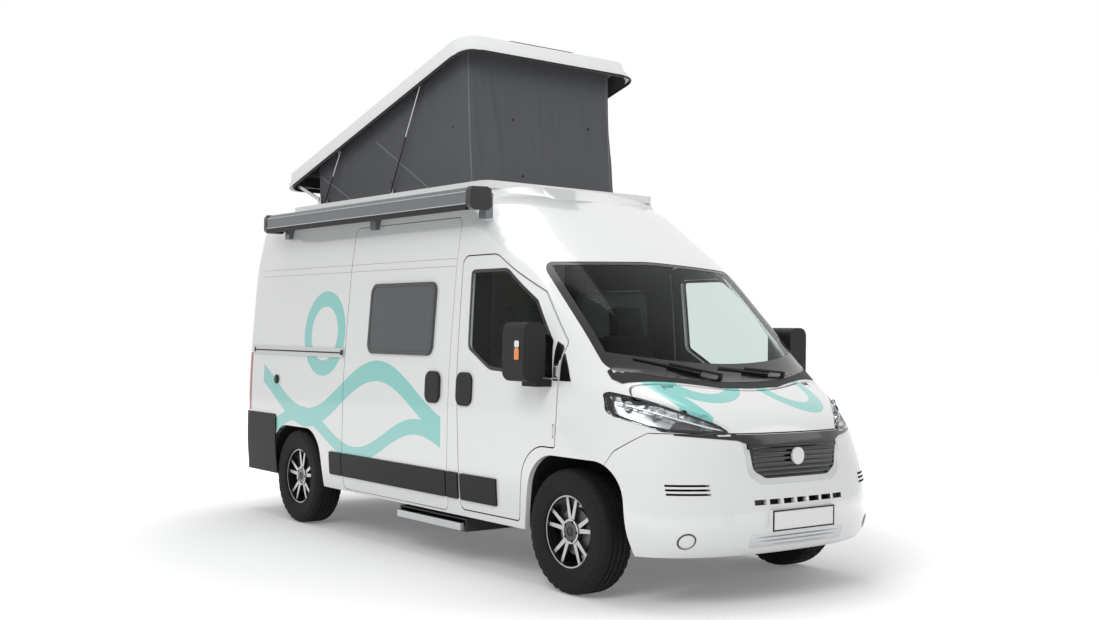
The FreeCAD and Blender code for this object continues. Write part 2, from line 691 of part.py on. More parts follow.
def make_floor(inner):
    """Load floor on its two long beams, with the bulkhead behind the engine bay, and the wheel wells."""
    plate = box((0, 1100), (BULKHEAD_Y, REAR_PANEL_Y - WALL - PANEL_GAP), (FLOOR_Z, FLOOR_Z + FLOOR_THICK))
    plate = plate.common(inner.translated(V(-SEAT_GAP, 0, 0)))
    doorway = box((HALF_WIDTH - WALL - 25, 1100), (DOOR_FRONT_Y, DOOR_REAR_Y + 10), (300, 700))
    wall = box((-1, 850), (BULKHEAD_Y, BULKHEAD_Y + 30), (FLOOR_Z, 1180))
    beam = box((BEAM_IN_X + SEAT_GAP, BEAM_OUT_X), (BEAM_FRONT_Y, TAIL_Y - BUMPER_DEPTH - SEAT_GAP),
               (FLOOR_Z - BEAM_HEIGHT, FLOOR_Z))
    axle_room = 12 + REAR_TUBE_R
    beam = beam.cut(box((BEAM_IN_X - 5, BEAM_OUT_X + 5), (REAR_AXLE_Y - axle_room, REAR_AXLE_Y + axle_room),
                        (FLOOR_Z - BEAM_HEIGHT - 5, TYRE_R + axle_room)))
    house_x = HOUSE_INNER_X - LINER_WALL - SEAT_GAP
    houses = [prism(arch_corners(axle, LINER_WALL + SEAT_GAP), "x", house_x, 1200)
              for axle in (FRONT_AXLE_Y, REAR_AXLE_Y)]
    half = plate.cut(doorway).fuse([wall, beam]).cut(houses)
    save("floor_pan", whole(biggest(half)))
    liners = []
    inside = inner.translated(V(-SEAT_GAP, SEAT_GAP, 0))
    arm_room = [box((500, 700), (y - 60, y + 60), (low, low + 105))
                for y, low in ((FRONT_AXLE_Y, 420), (REAR_AXLE_Y, 320))]
    for axle in (FRONT_AXLE_Y, REAR_AXLE_Y):
        outside = HALF_WIDTH - WALL
        well = prism(arch_corners(axle, LINER_WALL), "x", HOUSE_INNER_X - LINER_WALL, outside)
        well = well.cut(prism(arch_corners(axle, 0), "x", HOUSE_INNER_X, outside + 10))
        well = well.cut([box((0, 1200), (-3000, 3000), (0, SILL_Z + 10))] + arm_room).common(inside)
        liners += [well, mirrored(well)]
    save("arch_liners", Part.makeCompound(liners))


def make_carrier(inner):
    """The frame behind the nose that carries bumper, grilles and headlamps, ahead of the floor's beams."""
    post = box((300, 400), (-2750, -2500), (345, 950)).cut(box((0, 600), (-2570, -2490), (500, 940)))
    strip = box((330, 400), (-2570, -2480), (480, 950))
    beam_z = (FLOOR_Z - BEAM_HEIGHT, FLOOR_Z)
    link = box((330, BEAM_OUT_X), (-2570, -2450), beam_z)
    link = link.fuse(box((BEAM_IN_X + 5, BEAM_OUT_X), (-2570, BEAM_FRONT_Y - SEAT_GAP), beam_z))
    cross = [box((-1, 400), (-2600, -2560), (400, 470)), box((-1, 400), (-2520, -2480), (900, 945))]
    riser = box((340, 400), (-2500, -2450), (900, 1045)).fuse(box((340, 400), (-2500, -2360), (1005, 1045)))
    arm = [box((340, 760), (-2420, -2360), (1005, 1045)), box((600, 760), (-2700, -2360), (1005, 1045))]
    half = post.fuse([strip, link, riser] + cross + arm).common(inner.translated(V(0, SEAT_GAP, 0)))
    save("front_carrier", whole(biggest(half)))


def make_tyre(x):
    """A tyre with a rounded shoulder, centred at x on the wheel's axle line at the origin."""
    half = TYRE_WIDTH / 2
    seat = RIM_R + SEAT_GAP
    profile = [
        (-half + 22, seat, 0), (half - 22, seat, 0), (half - 6, seat + 22, 8), (half, TYRE_R - 75, 60),
        (half - 16, TYRE_R - 12, 18), (half - 52, TYRE_R, 40), (-half + 52, TYRE_R, 40),
        (-half + 16, TYRE_R - 12, 18), (-half, TYRE_R - 75, 60), (-half + 6, seat + 22, 8),
    ]
    wire = outline([(u, v, r) for u, v, r in profile], "y", 0)
    return Part.Face(wire).revolve(V(0, 0, 0), V(1, 0, 0), 360).translated(V(x, 0, 0))


def make_rim(x, outwards):
    """A rim with five split spokes. Its open side faces the van."""
    half = RIM_WIDTH / 2
    barrel = Part.makeCylinder(RIM_R, RIM_WIDTH, V(-half, 0, 0), V(1, 0, 0))
    barrel = barrel.cut(Part.makeCylinder(RIM_R - RIM_WALL, RIM_WIDTH, V(-half, 0, 0), V(1, 0, 0)))
    face = half - 22
    hub = Part.makeCylinder(HUB_R, 38, V(face - 30, 0, 0), V(1, 0, 0))
    spokes = []
    for i in range(SPOKES):
        for lean in (-1, 1):
            arm = prism([(lean * 4 - 15, 40, 0), (lean * 4 + 15, 40, 0), (lean * 46 + 11, RIM_R - 3, 0),
                         (lean * 46 - 11, RIM_R - 3, 0)], "x", face - 22, face)
            arm = arm.common(Part.makeCylinder(RIM_R - RIM_WALL / 2, RIM_WIDTH, V(-half, 0, 0), V(1, 0, 0)))
            spokes.append(arm.rotate(V(0, 0, 0), V(1, 0, 0), 360.0 * i / SPOKES))
    rim = barrel.fuse([hub] + spokes)
    holes = [Part.makeCylinder(SPINDLE_R + BORE_CLEARANCE, 60, V(face - 32, 0, 0), V(1, 0, 0))]
    for i in range(SPOKES):
        angle = math.radians(360.0 * i / SPOKES + 36)
        at = V(face - 6, BOLT_CIRCLE_R * math.cos(angle), BOLT_CIRCLE_R * math.sin(angle))
        holes.append(Part.makeCylinder(BOLT_R, 20, at, V(1, 0, 0)))
    rim = rim.cut(holes)
    if outwards < 0:
        rim = mirrored(rim)
    return rim.translated(V(x, 0, 0))


def make_wheels():
    """Four wheels, the steered knuckles and the rear axle that carry them."""
    for name, x, y in (("fl", WHEEL_X, FRONT_AXLE_Y), ("fr", -WHEEL_X, FRONT_AXLE_Y),
                       ("rl", WHEEL_X, REAR_AXLE_Y), ("rr", -WHEEL_X, REAR_AXLE_Y)):
        centre = V(0, y, TYRE_R)
        save("tyre_" + name, make_tyre(x).translated(centre))
        save("rim_" + name, make_rim(x, x).translated(centre))
    hub_face = WHEEL_X + RIM_WIDTH / 2 - 22 - 30 - 2
    pin_x = WHEEL_X - KINGPIN_OFFSET
    spindle = rod(V(pin_x - 30, 0, 0), V(hub_face + 36, 0, 0), SPINDLE_R)
    disc = rod(V(hub_face - 22, 0, 0), V(hub_face, 0, 0), 140)
    upright = box((pin_x - 24, pin_x + 24), (-45, 45), (-70, 86))
    bore = rod(V(pin_x, 0, -200), V(pin_x, 0, 200), KINGPIN_R + BORE_CLEARANCE)
    knuckle = upright.fuse([spindle, disc, rod(V(pin_x, 0, -70), V(pin_x, 0, 86), KINGPIN_R + 14)]).cut(bore)
    knuckle = knuckle.translated(V(0, FRONT_AXLE_Y, TYRE_R))
    save("knuckle_l", knuckle)
    save("knuckle_r", mirrored(knuckle))
    beam = rod(V(-pin_x, 0, 0), V(pin_x, 0, 0), REAR_TUBE_R)
    hubs = []
    for sign in (-1, 1):
        hubs.append(rod(V(sign * pin_x, 0, 0), V(sign * (hub_face + 36), 0, 0), SPINDLE_R))
        hubs.append(rod(V(sign * (hub_face - 26), 0, 0), V(sign * hub_face, 0, 0), 140))
        across = sorted((sign * (SPRING_X - 28), sign * (SPRING_X + 28)))
        hubs.append(box(across, (-620, 620), (36, 52)))
        hubs += [box(across, (y, y + 30), (36, FLOOR_Z - TYRE_R - SEAT_GAP)) for y in (-620, 590)]
    save("rear_axle", beam.fuse(hubs).translated(V(0, REAR_AXLE_Y, TYRE_R)))
    pins = []
    for sign in (-1, 1):
        kingpin = rod(V(sign * pin_x, 0, -100), V(sign * pin_x, 0, 104), KINGPIN_R)
        low_arm = box(sorted((sign * 300, sign * (pin_x + 20))), (-35, 35), (-104, -76))
        high_arm = box(sorted((sign * 540, sign * (pin_x + 20))), (-35, 35), (92, 106))
        post = box(sorted((sign * 530, sign * 567)), (-35, 35), (-80, FLOOR_Z - TYRE_R - SEAT_GAP))
        pins += [kingpin, low_arm, high_arm, post]
    cross = box((-567, 567), (-130, 130), (-104, -60))
    frame = cross.fuse(pins)
    save("front_subframe", biggest(frame.translated(V(0, FRONT_AXLE_Y, TYRE_R))))


def lid_point(s, h, x):
    """A point given in the lid's own frame, placed for the raised lid."""
    pin = V(0, s - LIFT_PIN_S, h - LIFT_PIN_H)
    angle = math.radians(-LID_ANGLE)
    y = pin.y * math.cos(angle) - pin.z * math.sin(angle)
    z = pin.y * math.sin(angle) + pin.z * math.cos(angle)
    base = lift_pin()
    return V(x, base.y + y, base.z + z)


def lift_arm_length():
    """The lift arm's length between its pins, from the closed lid's place."""
    closed_y = LID_CLOSED_FRONT_Y + LIFT_PIN_S
    closed_z = LID_CLOSED_Z + LIFT_PIN_H
    return math.hypot(closed_y - LIFT_ANCHOR_Y, closed_z - LIFT_ANCHOR_Z)


def lift_pin():
    """The pin between lift arm and lid, with the lid raised."""
    angle = math.radians(LIFT_ANGLE)
    length = lift_arm_length()
    return V(0, LIFT_ANCHOR_Y + length * math.cos(angle), LIFT_ANCHOR_Z + length * math.sin(angle))


def raise_lid(shape):
    """Takes a piece from the lid's own frame to its raised place."""
    moved = shape.translated(V(0, -LIFT_PIN_S, -LIFT_PIN_H))
    moved.rotate(V(0, 0, 0), V(1, 0, 0), -LID_ANGLE)
    return moved.translated(lift_pin())


def lid_section(h, grow):
    """The lid's plan outline at a height in its own frame, grown or shrunk all round."""
    front = rounded((-LID_HALF - grow, LID_HALF + grow), (-grow, LID_LENGTH + grow), LID_CORNER + grow)
    rear = [(x, s, max(LID_REAR_CORNER + grow, LID_CORNER_LEAST)) for x, s, _ in front[2:]]
    return outline(front[:2] + rear, "z", h)


def fairing_outline(edge, z):
    """The fairing's outline at a height, from the two corners of its left front edge."""
    left = [(edge[0][0], FAIRING_REAR_Y, 5)] + edge
    right = [(-x, y, r) for x, y, r in reversed(left)]
    return outline(left + right, "z", z)


def roof_fairing(outer):
    """The sloping front of the roof frame, cut to the roof below it."""
    ends = [fairing_outline(FAIRING_LOW, FAIRING_LOW_Z), fairing_outline(FAIRING_TOP, FRAME_TOP_Z)]
    left = Part.makeLoft(ends, True, True).common(box((0, 1000), (-1500, 0), (2000, 2700)))
    left = biggest(left.cut(outer.translated(V(0, 0, SEAT_GAP))))
    return whole(left)


def make_roof(outer):
    """Roof frame with its front fairing, the lid, skylight, lift arms, struts and tent."""
    ring = prism(rounded((-LID_HALF + 40, LID_HALF - 40), (-560, 2330), 80), "z", ROOF_Z + SEAT_GAP, FRAME_TOP_Z)
    hole = box((-HATCH_HALF, HATCH_HALF), (-150, 2250), (2400, 2700))
    frame = ring.fuse(roof_fairing(outer)).cut(hole).fuse(roof_brackets())
    save("roof_frame", biggest(frame))
    steps = [(0, 0), (LID_LIP, -4), (LID_LIP + 4, -18), (LID_SKIRT, -LID_FLARE), (LID_SKIRT + 38, -LID_FLARE - 80)]
    shell = Part.makeLoft([lid_section(h, grow) for h, grow in steps], True, True)
    low = [(-1, 0), (LID_SKIRT - 8, -LID_FLARE), (LID_SKIRT + 24, -LID_FLARE - 70)]
    room = Part.makeLoft([lid_section(h, grow - 18 - LID_WALL) for h, grow in low], True, True)
    ears = []
    for sign in (-1, 1):
        ears.append(rod(V(sign * (LIFT_ARM_X - 10), LIFT_PIN_S, LIFT_PIN_H),
                        V(sign * (LIFT_ARM_X + 24), LIFT_PIN_S, LIFT_PIN_H), LIFT_PIN_R))
        for _, s, h in STRUTS.values():
            low, high = sorted((sign * (STRUT_X + 7.5), sign * (STRUT_X + 15)))
            ears.append(box((low, high), (s - 16, s + 16), (h - 14, LID_SKIRT + 12)))
    lid = shell.cut(room).fuse(ears)
    save("poproof_lid", biggest(raise_lid(lid)))
    light = prism(rounded((-330, 330), (120, 620), 60), "z", LID_SKIRT + 38 + SEAT_GAP, LID_SKIRT + 62)
    save("roof_skylight", raise_lid(light))
    arms = []
    pin = lift_pin()
    half = LIFT_ARM_WIDTH / 2
    for sign in (-1, 1):
        start = sign * LIFT_ARM_X - half
        anchor = V(start, LIFT_ANCHOR_Y, LIFT_ANCHOR_Z)
        end = V(start, pin.y, pin.z)
        bar = link_bar(anchor, end, V(1, 0, 0), LIFT_ARM_WIDTH, 26).translated(V(half, 0, 0))
        bar = bar.fuse([rod(p, p + V(LIFT_ARM_WIDTH, 0, 0), 15) for p in (anchor, end)])
        for p in (anchor, end):
            bar = bar.cut(rod(p - V(5, 0, 0), p + V(17, 0, 0), LIFT_PIN_R + BORE_CLEARANCE))
        arms.append(bar)
    at = V(0, LIFT_ANCHOR_Y, LIFT_ANCHOR_Z) * 0.15 + pin * 0.85
    cross = rod(at - V(LIFT_ARM_X, 0, 0), at + V(LIFT_ARM_X, 0, 0), 9)
    save("lift_arms", arms[0].fuse([arms[1], cross]))
    make_struts()
    make_tent()


def roof_brackets():
    """Brackets on the roof frame that hold the lift arms and the strut tubes."""
    pieces = []
    for sign in (-1, 1):
        low, high = sorted((sign * (LIFT_ARM_X - 20), sign * (LIFT_ARM_X - 6.5)))
        pieces.append(box((low, high), (LIFT_ANCHOR_Y - 25, LIFT_ANCHOR_Y + 25),
                          (FRAME_TOP_Z - 5, LIFT_ANCHOR_Z + 20)))
        pieces.append(rod(V(sign * (LIFT_ARM_X - 16), LIFT_ANCHOR_Y, LIFT_ANCHOR_Z),
                          V(sign * (LIFT_ARM_X + 6), LIFT_ANCHOR_Y, LIFT_ANCHOR_Z), LIFT_PIN_R))
        for y, _, _ in STRUTS.values():
            low, high = sorted((sign * (STRUT_X - 22), sign * (STRUT_X - 12.5)))
            pieces.append(box((low, high), (y - 16, y + 16), (FRAME_TOP_Z - 5, STRUT_ANCHOR_Z + 14)))
            pin = V(0, y, STRUT_ANCHOR_Z)
            pieces.append(rod(pin + V(sign * (STRUT_X - 14), 0, 0), pin + V(sign * (STRUT_X + 5), 0, 0), STRUT_PIN_R))
    return pieces


def strut_ends(name):
    """The strut's lower pivot, its raised eye and its closed length."""
    y, s, h = STRUTS[name]
    low = V(0, y, STRUT_ANCHOR_Z)
    high = lid_point(s, h, 0)
    closed = V(0, LID_CLOSED_FRONT_Y + s, LID_CLOSED_Z + h)
    return low, high, low.distanceToPoint(closed), closed


def make_struts():
    """Gas struts: a tube hinged on the roof frame and a rod whose eye lies beside the lid's bracket."""
    for name in STRUTS:
        low, high, closed, _ = strut_ends(name)
        run = (high - low).normalize()
        mouth = closed - STRUT_END + 9
        tubes = []
        rods = []
        for sign in (-1, 1):
            at = V(sign * STRUT_X, 0, 0)
            tube = rod(at + low + run * 7, at + low + run * mouth, STRUT_TUBE_R)
            tube = tube.fuse(rod(at + low - V(6, 0, 0), at + low + V(6, 0, 0), 12))
            tube = tube.cut(rod(at + low + run * (STRUT_END - 1), at + low + run * (mouth + 5), STRUT_ROD_R + 0.5))
            tube = tube.cut(rod(at + low - V(9, 0, 0), at + low + V(9, 0, 0), STRUT_PIN_R + BORE_CLEARANCE))
            tubes.append(tube)
            start = low.distanceToPoint(high) - closed + STRUT_END
            bar = rod(at + low + run * start, at + high, STRUT_ROD_R)
            bar = bar.fuse(rod(at + high - V(6, 0, 0), at + high + V(6, 0, 0), 10))
            rods.append(bar)
        save("strut_tubes_" + name, Part.makeCompound(tubes))
        save("strut_rods_" + name, Part.makeCompound(rods))


def make_tent():
    """The tent's cloth as a thin wall from the roof frame to the lid's underside."""
    base = FRAME_TOP_Z + SEAT_GAP
    front = lid_point(160, TENT_TOP_H, 0)
    rear = lid_point(2420, TENT_TOP_H, 0)
    solid = prism([(TENT_FRONT_Y, base, 0), (TENT_REAR_Y, base, 0), (rear.y, rear.z, 0), (front.y, front.z, 0)],
                  "x", -TENT_HALF, TENT_HALF)
    spare = 0.2
    front_step = (front - V(0, TENT_FRONT_Y, base)) * spare
    rear_step = (rear - V(0, TENT_REAR_Y, base)) * spare
    room = prism([(TENT_FRONT_Y - front_step.y + TENT_CLOTH, base - front_step.z, 0),
                  (TENT_REAR_Y - rear_step.y - TENT_CLOTH, base - rear_step.z, 0),
                  (rear.y + rear_step.y - TENT_CLOTH, rear.z + rear_step.z, 0),
                  (front.y + front_step.y + TENT_CLOTH, front.z + front_step.z, 0)],
                 "x", -TENT_HALF + TENT_CLOTH, TENT_HALF - TENT_CLOTH)
    save("tent", biggest(solid.cut(room).cut(SAVED["poproof_lid"])))


def make_side_fittings(outer, panels):
    """Sliding door, its rail, mouldings, awning and entry step on the right side."""
    save("sliding_door", mirrored(biggest(panels["sliding_door"])))
    rail = prism(rounded((945, 2500), (RAIL_LOW_Z, RAIL_HIGH_Z), 8), "x", 900, 1200)
    rail = biggest(rail.common(outer.translated(V(12, 0, 0))).cut(outer.translated(V(SEAT_GAP, 0, 0))))
    save("door_rail", mirrored(rail))
    strips = []
    for low, high in ((935, 1120), (-494, 924), (-640, -508)):
        strip = prism(rounded((low, high), (445, 618), 12), "x", 900, 1200)
        strips.append(strip)
    long = prism(rounded((-640, 1120), (445, 618), 12), "x", 900, 1200)
    skin_out = outer.translated(V(14, 0, 0))
    left = biggest(long.common(skin_out).cut(outer.translated(V(SEAT_GAP, 0, 0))))
    right = [mirrored(biggest(s.common(skin_out).cut(outer.translated(V(SEAT_GAP, 0, 0))))) for s in strips]
    save("side_mouldings", Part.makeCompound([left] + right))
    trim = prism(rounded((-1075, -672), (445, 618), 12), "x", 900, 1200)
    trim = biggest(trim.common(skin_out).cut(outer.translated(V(SEAT_GAP, 0, 0))))
    handle_tool = prism(rounded((-785, -610), (1062, 1282), 60), "x", 900, 1200)
    handle = biggest(handle_tool.common(skin_out).cut(outer.translated(V(SEAT_GAP, 0, 0))))
    face = surface_x(outer, -1500, 1250)
    foot = box((face - 20, face + 120), (-1620, -1480), (1225, 1268))
    foot = foot.cut(outer.translated(V(SEAT_GAP, 0, 0)))
    head = prism(rounded((1085, 1250), (1255, 1610), 60), "y", -1640, -1430)
    mirror = biggest(head.fuse(foot))
    for name, side in (("l", 1), ("r", -1)):
        group = Part.makeCompound([trim, handle, mirror])
        save("door_trim_" + name, group if side > 0 else mirrored(group))


def make_awning(outer):
    """A long cassette beside the roof on the right, on its brackets."""
    inner_x = HALF_WIDTH - 70
    case = prism([(-inner_x, AWNING_LOW_Z + 40, 10), (-inner_x, AWNING_HIGH_Z - 15, 20),
                  (-AWNING_OUT_X, AWNING_HIGH_Z, 45), (-AWNING_OUT_X, AWNING_LOW_Z, 30)],
                 "y", AWNING_FRONT_Y, AWNING_REAR_Y)
    low = surface_x(outer, 0, AWNING_LOW_Z - 20)
    brackets = []
    for y in (-780, 640, 2040):
        arm = box((-inner_x - 4, -low + 20), (y - 40, y + 40), (AWNING_LOW_Z - 45, AWNING_HIGH_Z - 30))
        brackets.append(arm)
    whole = case.fuse(brackets).cut(mirrored(outer.translated(V(SEAT_GAP, 0, 0))))
    save("awning", biggest(whole))


def make_rear(outer):
    """Dark rear bumper with the corners that run up the body's sides."""
    tail = prism(rounded((-985, 985), (2120, TAIL_Y), 90), "z", 360, 505)
    tail = tail.cut(prism(rounded((-900, 900), (2000, TAIL_Y - BUMPER_DEPTH), 60), "z", 300, 600))
    above = box((-1000, 1000), (2000, TAIL_Y - BUMPER_DEPTH), (FLOOR_Z - SEAT_GAP, 600))
    bumper = tail.cut([prism(arch_corners(REAR_AXLE_Y, 12), "x", -1200, 1200), above])
    side = [(2040, 362, 10), (2600, 362, 10), (2640, 500, 20), (2640, 850, 15), (2045, 850, 30)]
    corner = prism(side, "x", 700, 1100).common(outer.translated(V(10, 0, 0)))
    corner = biggest(corner.cut(outer.translated(V(SEAT_GAP, 0, 0))))
    save("rear_bumper", Part.makeCompound([bumper, corner, mirrored(corner)]))


def make_cab():
    """Seats, dashboard, steering wheel and the living units behind."""
    top = FLOOR_Z + FLOOR_THICK + SEAT_GAP
    seats = []
    for x in (-480, 480):
        base = box((x - 190, x + 190), (-1180, -760), (top, top + 190))
        cushion = prism(rounded((-1270, -740), (top + 190, top + 320), 45), "x", x - 240, x + 240)
        back = prism([(-800, top + 250, 40), (-640, top + 250, 40), (-560, top + 900, 60), (-680, top + 900, 50)],
                     "x", x - 230, x + 230)
        head = prism([(-660, top + 880, 20), (-570, top + 880, 20), (-545, top + 1080, 40), (-640, top + 1080, 40)],
                     "x", x - 130, x + 130)
        seats.append(base.fuse([cushion, back, head]))
    save("cab_seats", Part.makeCompound(seats))
    dash = prism([(BULKHEAD_Y + 30.3, 900, 20), (-1640, 880, 60), (-1560, 1120, 50), (-1700, 1215, 60),
                  (-1900, 1215, 40), (BULKHEAD_Y + 30.3, 1160, 20)], "x", -850, 850)
    hub = STEERING_HUB
    axis = STEERING_AXIS
    save("dashboard", dash.cut(rod(hub - axis * 180, hub - axis * 60, SHAFT_R + BORE_CLEARANCE)))
    ring = Part.makeTorus(185, 15, hub, axis)
    across = axis.cross(V(1, 0, 0)).normalize()
    spokes = [link_bar(hub, hub + V(178, 0, 0), axis, 14, 36), link_bar(hub, hub - V(178, 0, 0), axis, 14, 36),
              link_bar(hub, hub + across * 178 * (-1 if across.z > 0 else 1), axis, 14, 36)]
    boss = rod(hub - axis * 30, hub + axis * 14, 55)
    shaft = rod(hub - axis * 175, hub - axis * 20, SHAFT_R)
    save("steering_wheel", ring.fuse(spokes + [boss, shaft]))
    bed = box((-940, 940), (1300, 2490), (830, 960))
    legs = [box((x, x + 60), (1300, 2490), (top, 840)) for x in (-560, 500)]
    bench = box((380, 955), (-250, 520), (top, top + 420))
    units = [
        box((-960, -560), (80, 900), (top, top + 780)),
        bench.fuse(box((380, 955), (400, 520), (top + 419, top + 1000))),
        bed.fuse(legs),
        box((560, 860), (620, 1240), (top, 2300)),
    ]
    save("living_units", Part.makeCompound(units))


def make_underbody():
    """Engine block between the beams, exhaust and fuel tank under the floor."""
    save("engine_block", prism(rounded((-2440, -2030), (330, 960), 40), "x", -BEAM_IN_X, BEAM_IN_X))
    path = [V(150, -1500, PIPE_Z), V(150, 1150, PIPE_Z), V(300, 1250, PIPE_Z), V(300, 2450, PIPE_Z)]
    pieces = [rod(start, end, PIPE_R) for start, end in zip(path, path[1:])]
    pieces += [Part.makeSphere(PIPE_R, point) for point in path[1:-1]]
    pieces.append(prism(rounded((40, 260), (250, 385), 40), "y", -200, 500))
    for x, y in ((150, -1400), (150, 100), (300, 2200)):
        pieces.append(box((x - 12, x + 12), (y, y + 30), (PIPE_Z, FLOOR_Z - SEAT_GAP)))
    save("exhaust", pieces[0].fuse(pieces[1:]))
    save("fuel_tank", prism(rounded((520, 860), (250, FLOOR_Z - SEAT_GAP), 50), "y", -1150, -150))


def make_step():
    """Entry step: a fixed case under the sill and the tread that slides out of it."""
    y = (STEP_FRONT_Y, STEP_REAR_Y)
    case = box((-960, -560), y, (STEP_Z - 10, SILL_Z - 25))
    case = case.cut(box((-1000, -575), (y[0] + 12, y[1] - 12), (STEP_Z, SILL_Z - 35)))
    posts = [box((-760, -700), (at, at + 40), (SILL_Z - 26, FLOOR_Z - SEAT_GAP)) for at in (y[0] + 60, y[1] - 100)]
    save("step_case", case.fuse(posts))
    inside = (y[0] + 18, y[1] - 18)
    tread = box((-985, -600), inside, (STEP_Z + SEAT_GAP, STEP_Z + 28))
    save("step_tread", tread.fuse(box((-995, -965), inside, (STEP_Z + SEAT_GAP, STEP_Z + 48))))


def main():
    """Builds every piece of the van."""
    os.makedirs("parts", exist_ok=True)
    outer = body_form(0, STATIONS[0][0])
    inner = body_form(WALL, STATIONS[0][0] - 60)
    panels = make_body(outer.cut(inner))
    make_nose(panels)
    fixed = make_doors(outer, panels)
    make_body_shell(panels, fixed + [tail_bracket(outer, inner)])
    make_glass(outer)
    make_floor(inner)
    make_carrier(inner)
    make_wheels()
    make_roof(outer)
    make_side_fittings(outer, panels)
    make_awning(outer)
    make_rear(outer)
    make_cab()
    make_underbody()
    make_step()


main()
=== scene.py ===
"""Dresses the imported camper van: finishes, tent cloth, wheels, lamps, trim, cab and a pale studio."""
import json
import logging
import math
from dataclasses import dataclass, field
from enum import Enum

import bmesh
import bpy
from mathutils import Matrix, Vector, geometry, noise
from mathutils.bvhtree import BVHTree


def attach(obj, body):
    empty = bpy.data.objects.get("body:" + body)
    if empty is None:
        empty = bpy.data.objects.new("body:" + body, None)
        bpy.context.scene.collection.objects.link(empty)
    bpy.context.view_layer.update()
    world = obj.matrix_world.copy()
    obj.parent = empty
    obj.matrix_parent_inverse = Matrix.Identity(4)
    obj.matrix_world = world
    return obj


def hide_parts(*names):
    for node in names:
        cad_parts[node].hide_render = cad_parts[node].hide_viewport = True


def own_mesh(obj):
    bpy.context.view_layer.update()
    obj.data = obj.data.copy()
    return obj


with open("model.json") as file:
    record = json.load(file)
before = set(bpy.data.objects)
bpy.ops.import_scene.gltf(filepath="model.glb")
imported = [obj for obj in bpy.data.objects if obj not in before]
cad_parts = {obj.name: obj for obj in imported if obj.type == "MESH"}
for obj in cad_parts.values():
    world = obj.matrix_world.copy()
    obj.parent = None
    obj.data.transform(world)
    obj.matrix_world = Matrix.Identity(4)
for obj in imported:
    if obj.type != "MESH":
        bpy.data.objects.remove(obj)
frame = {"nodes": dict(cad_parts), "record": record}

LOG = logging.getLogger("camper")
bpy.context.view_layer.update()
NODES = frame["nodes"]
Point = tuple[float, float, float]

FRONT_AXLE_Y = -1.7585
REAR_AXLE_Y = 1.6915
WHEEL_X = 0.895
WHEEL_Z = 0.372
LID_TILT = math.radians(16.4)
LID_FRONT_Y = -0.3167
LID_FRONT_Z = 3.5288

THIN_GLASS_IOR = 1.12

View = tuple[str, float]
FROM_FRONT: View = ("y", -3.2)
FROM_REAR: View = ("y", 3.2)
FROM_TOP: View = ("z", 3.2)
FROM_RIGHT: View = ("x", -1.6)
BEHIND_MIRRORS: View = ("y", 0.6)


class Side(Enum):
    """The van's two sides, by the sign of x."""

    LEFT = 1
    RIGHT = -1

    @property
    def letter(self) -> str:
        """The one-letter tag in the CAD nodes' names."""
        return self.name[0].lower()

    @property
    def word(self) -> str:
        """The tag in the names of the pieces made here."""
        return self.name.lower()


# Finishes


@dataclass(frozen=True)
class Finish:
    """One surface finish, with a fine procedural grain so that no surface is perfectly even."""

    name: str
    color: Point
    rough: float = 0.5
    metal: float = 0.0
    coat: float = 0.0
    grain: float = 0.04
    grain_scale: float = 30.0
    bump: float = 0.0
    bump_scale: float = 400.0
    clear: float = 0.0
    glow: float = 0.0
    shine: float = 0.5

    def make(self) -> bpy.types.Material:
        """Builds the material, or returns the one already made.

        Returns:
            The Blender material.
        """
        found = bpy.data.materials.get(self.name)
        if found:
            return found
        mat = bpy.data.materials.new(self.name)
        mat.use_nodes = True
        mat.diffuse_color = (*self.color, 1)
        nodes, links = mat.node_tree.nodes, mat.node_tree.links
        shader = nodes["Principled BSDF"]
        values = {"Metallic": self.metal, "Roughness": self.rough, "Coat Weight": self.coat, "Coat Roughness": 0.06,
                  "Specular IOR Level": self.shine, "Transmission Weight": self.clear}
        if self.clear:
            values["IOR"] = THIN_GLASS_IOR
        if self.glow:
            values |= {"Emission Color": (*self.color, 1), "Emission Strength": self.glow}
        for key, value in values.items():
            shader.inputs[key].default_value = value
        place = nodes.new("ShaderNodeTexCoord")
        noise = nodes.new("ShaderNodeTexNoise")
        noise.inputs["Scale"].default_value = self.grain_scale
        noise.inputs["Detail"].default_value = 3
        links.new(place.outputs["Object"], noise.inputs["Vector"])
        tone = nodes.new("ShaderNodeValToRGB")
        low, high = 1 - self.grain, 1 + self.grain
        tone.color_ramp.elements[0].color = (*[min(c * low, 1) for c in self.color], 1)
        tone.color_ramp.elements[1].color = (*[min(c * high, 1) for c in self.color], 1)
        links.new(noise.outputs["Fac"], tone.inputs["Fac"])
        links.new(self.tint(mat, tone.outputs["Color"]), shader.inputs["Base Color"])
        if self.bump:
            fine = nodes.new("ShaderNodeTexNoise")
            fine.inputs["Scale"].default_value = self.bump_scale
            links.new(place.outputs["Object"], fine.inputs["Vector"])
            bump = nodes.new("ShaderNodeBump")
            bump.inputs["Strength"].default_value = self.bump
            bump.inputs["Distance"].default_value = 0.002
            links.new(fine.outputs["Fac"], bump.inputs["Height"])
            links.new(bump.outputs["Normal"], shader.inputs["Normal"])
        return mat

    def tint(self, mat: bpy.types.Material, color: bpy.types.NodeSocket) -> bpy.types.NodeSocket:
        """Gives a finish its pattern; a plain one has none.

        Args:
            mat: the material being built.
            color: the plain colour's socket.

        Returns:
            The socket that carries the final colour.
        """
        return color


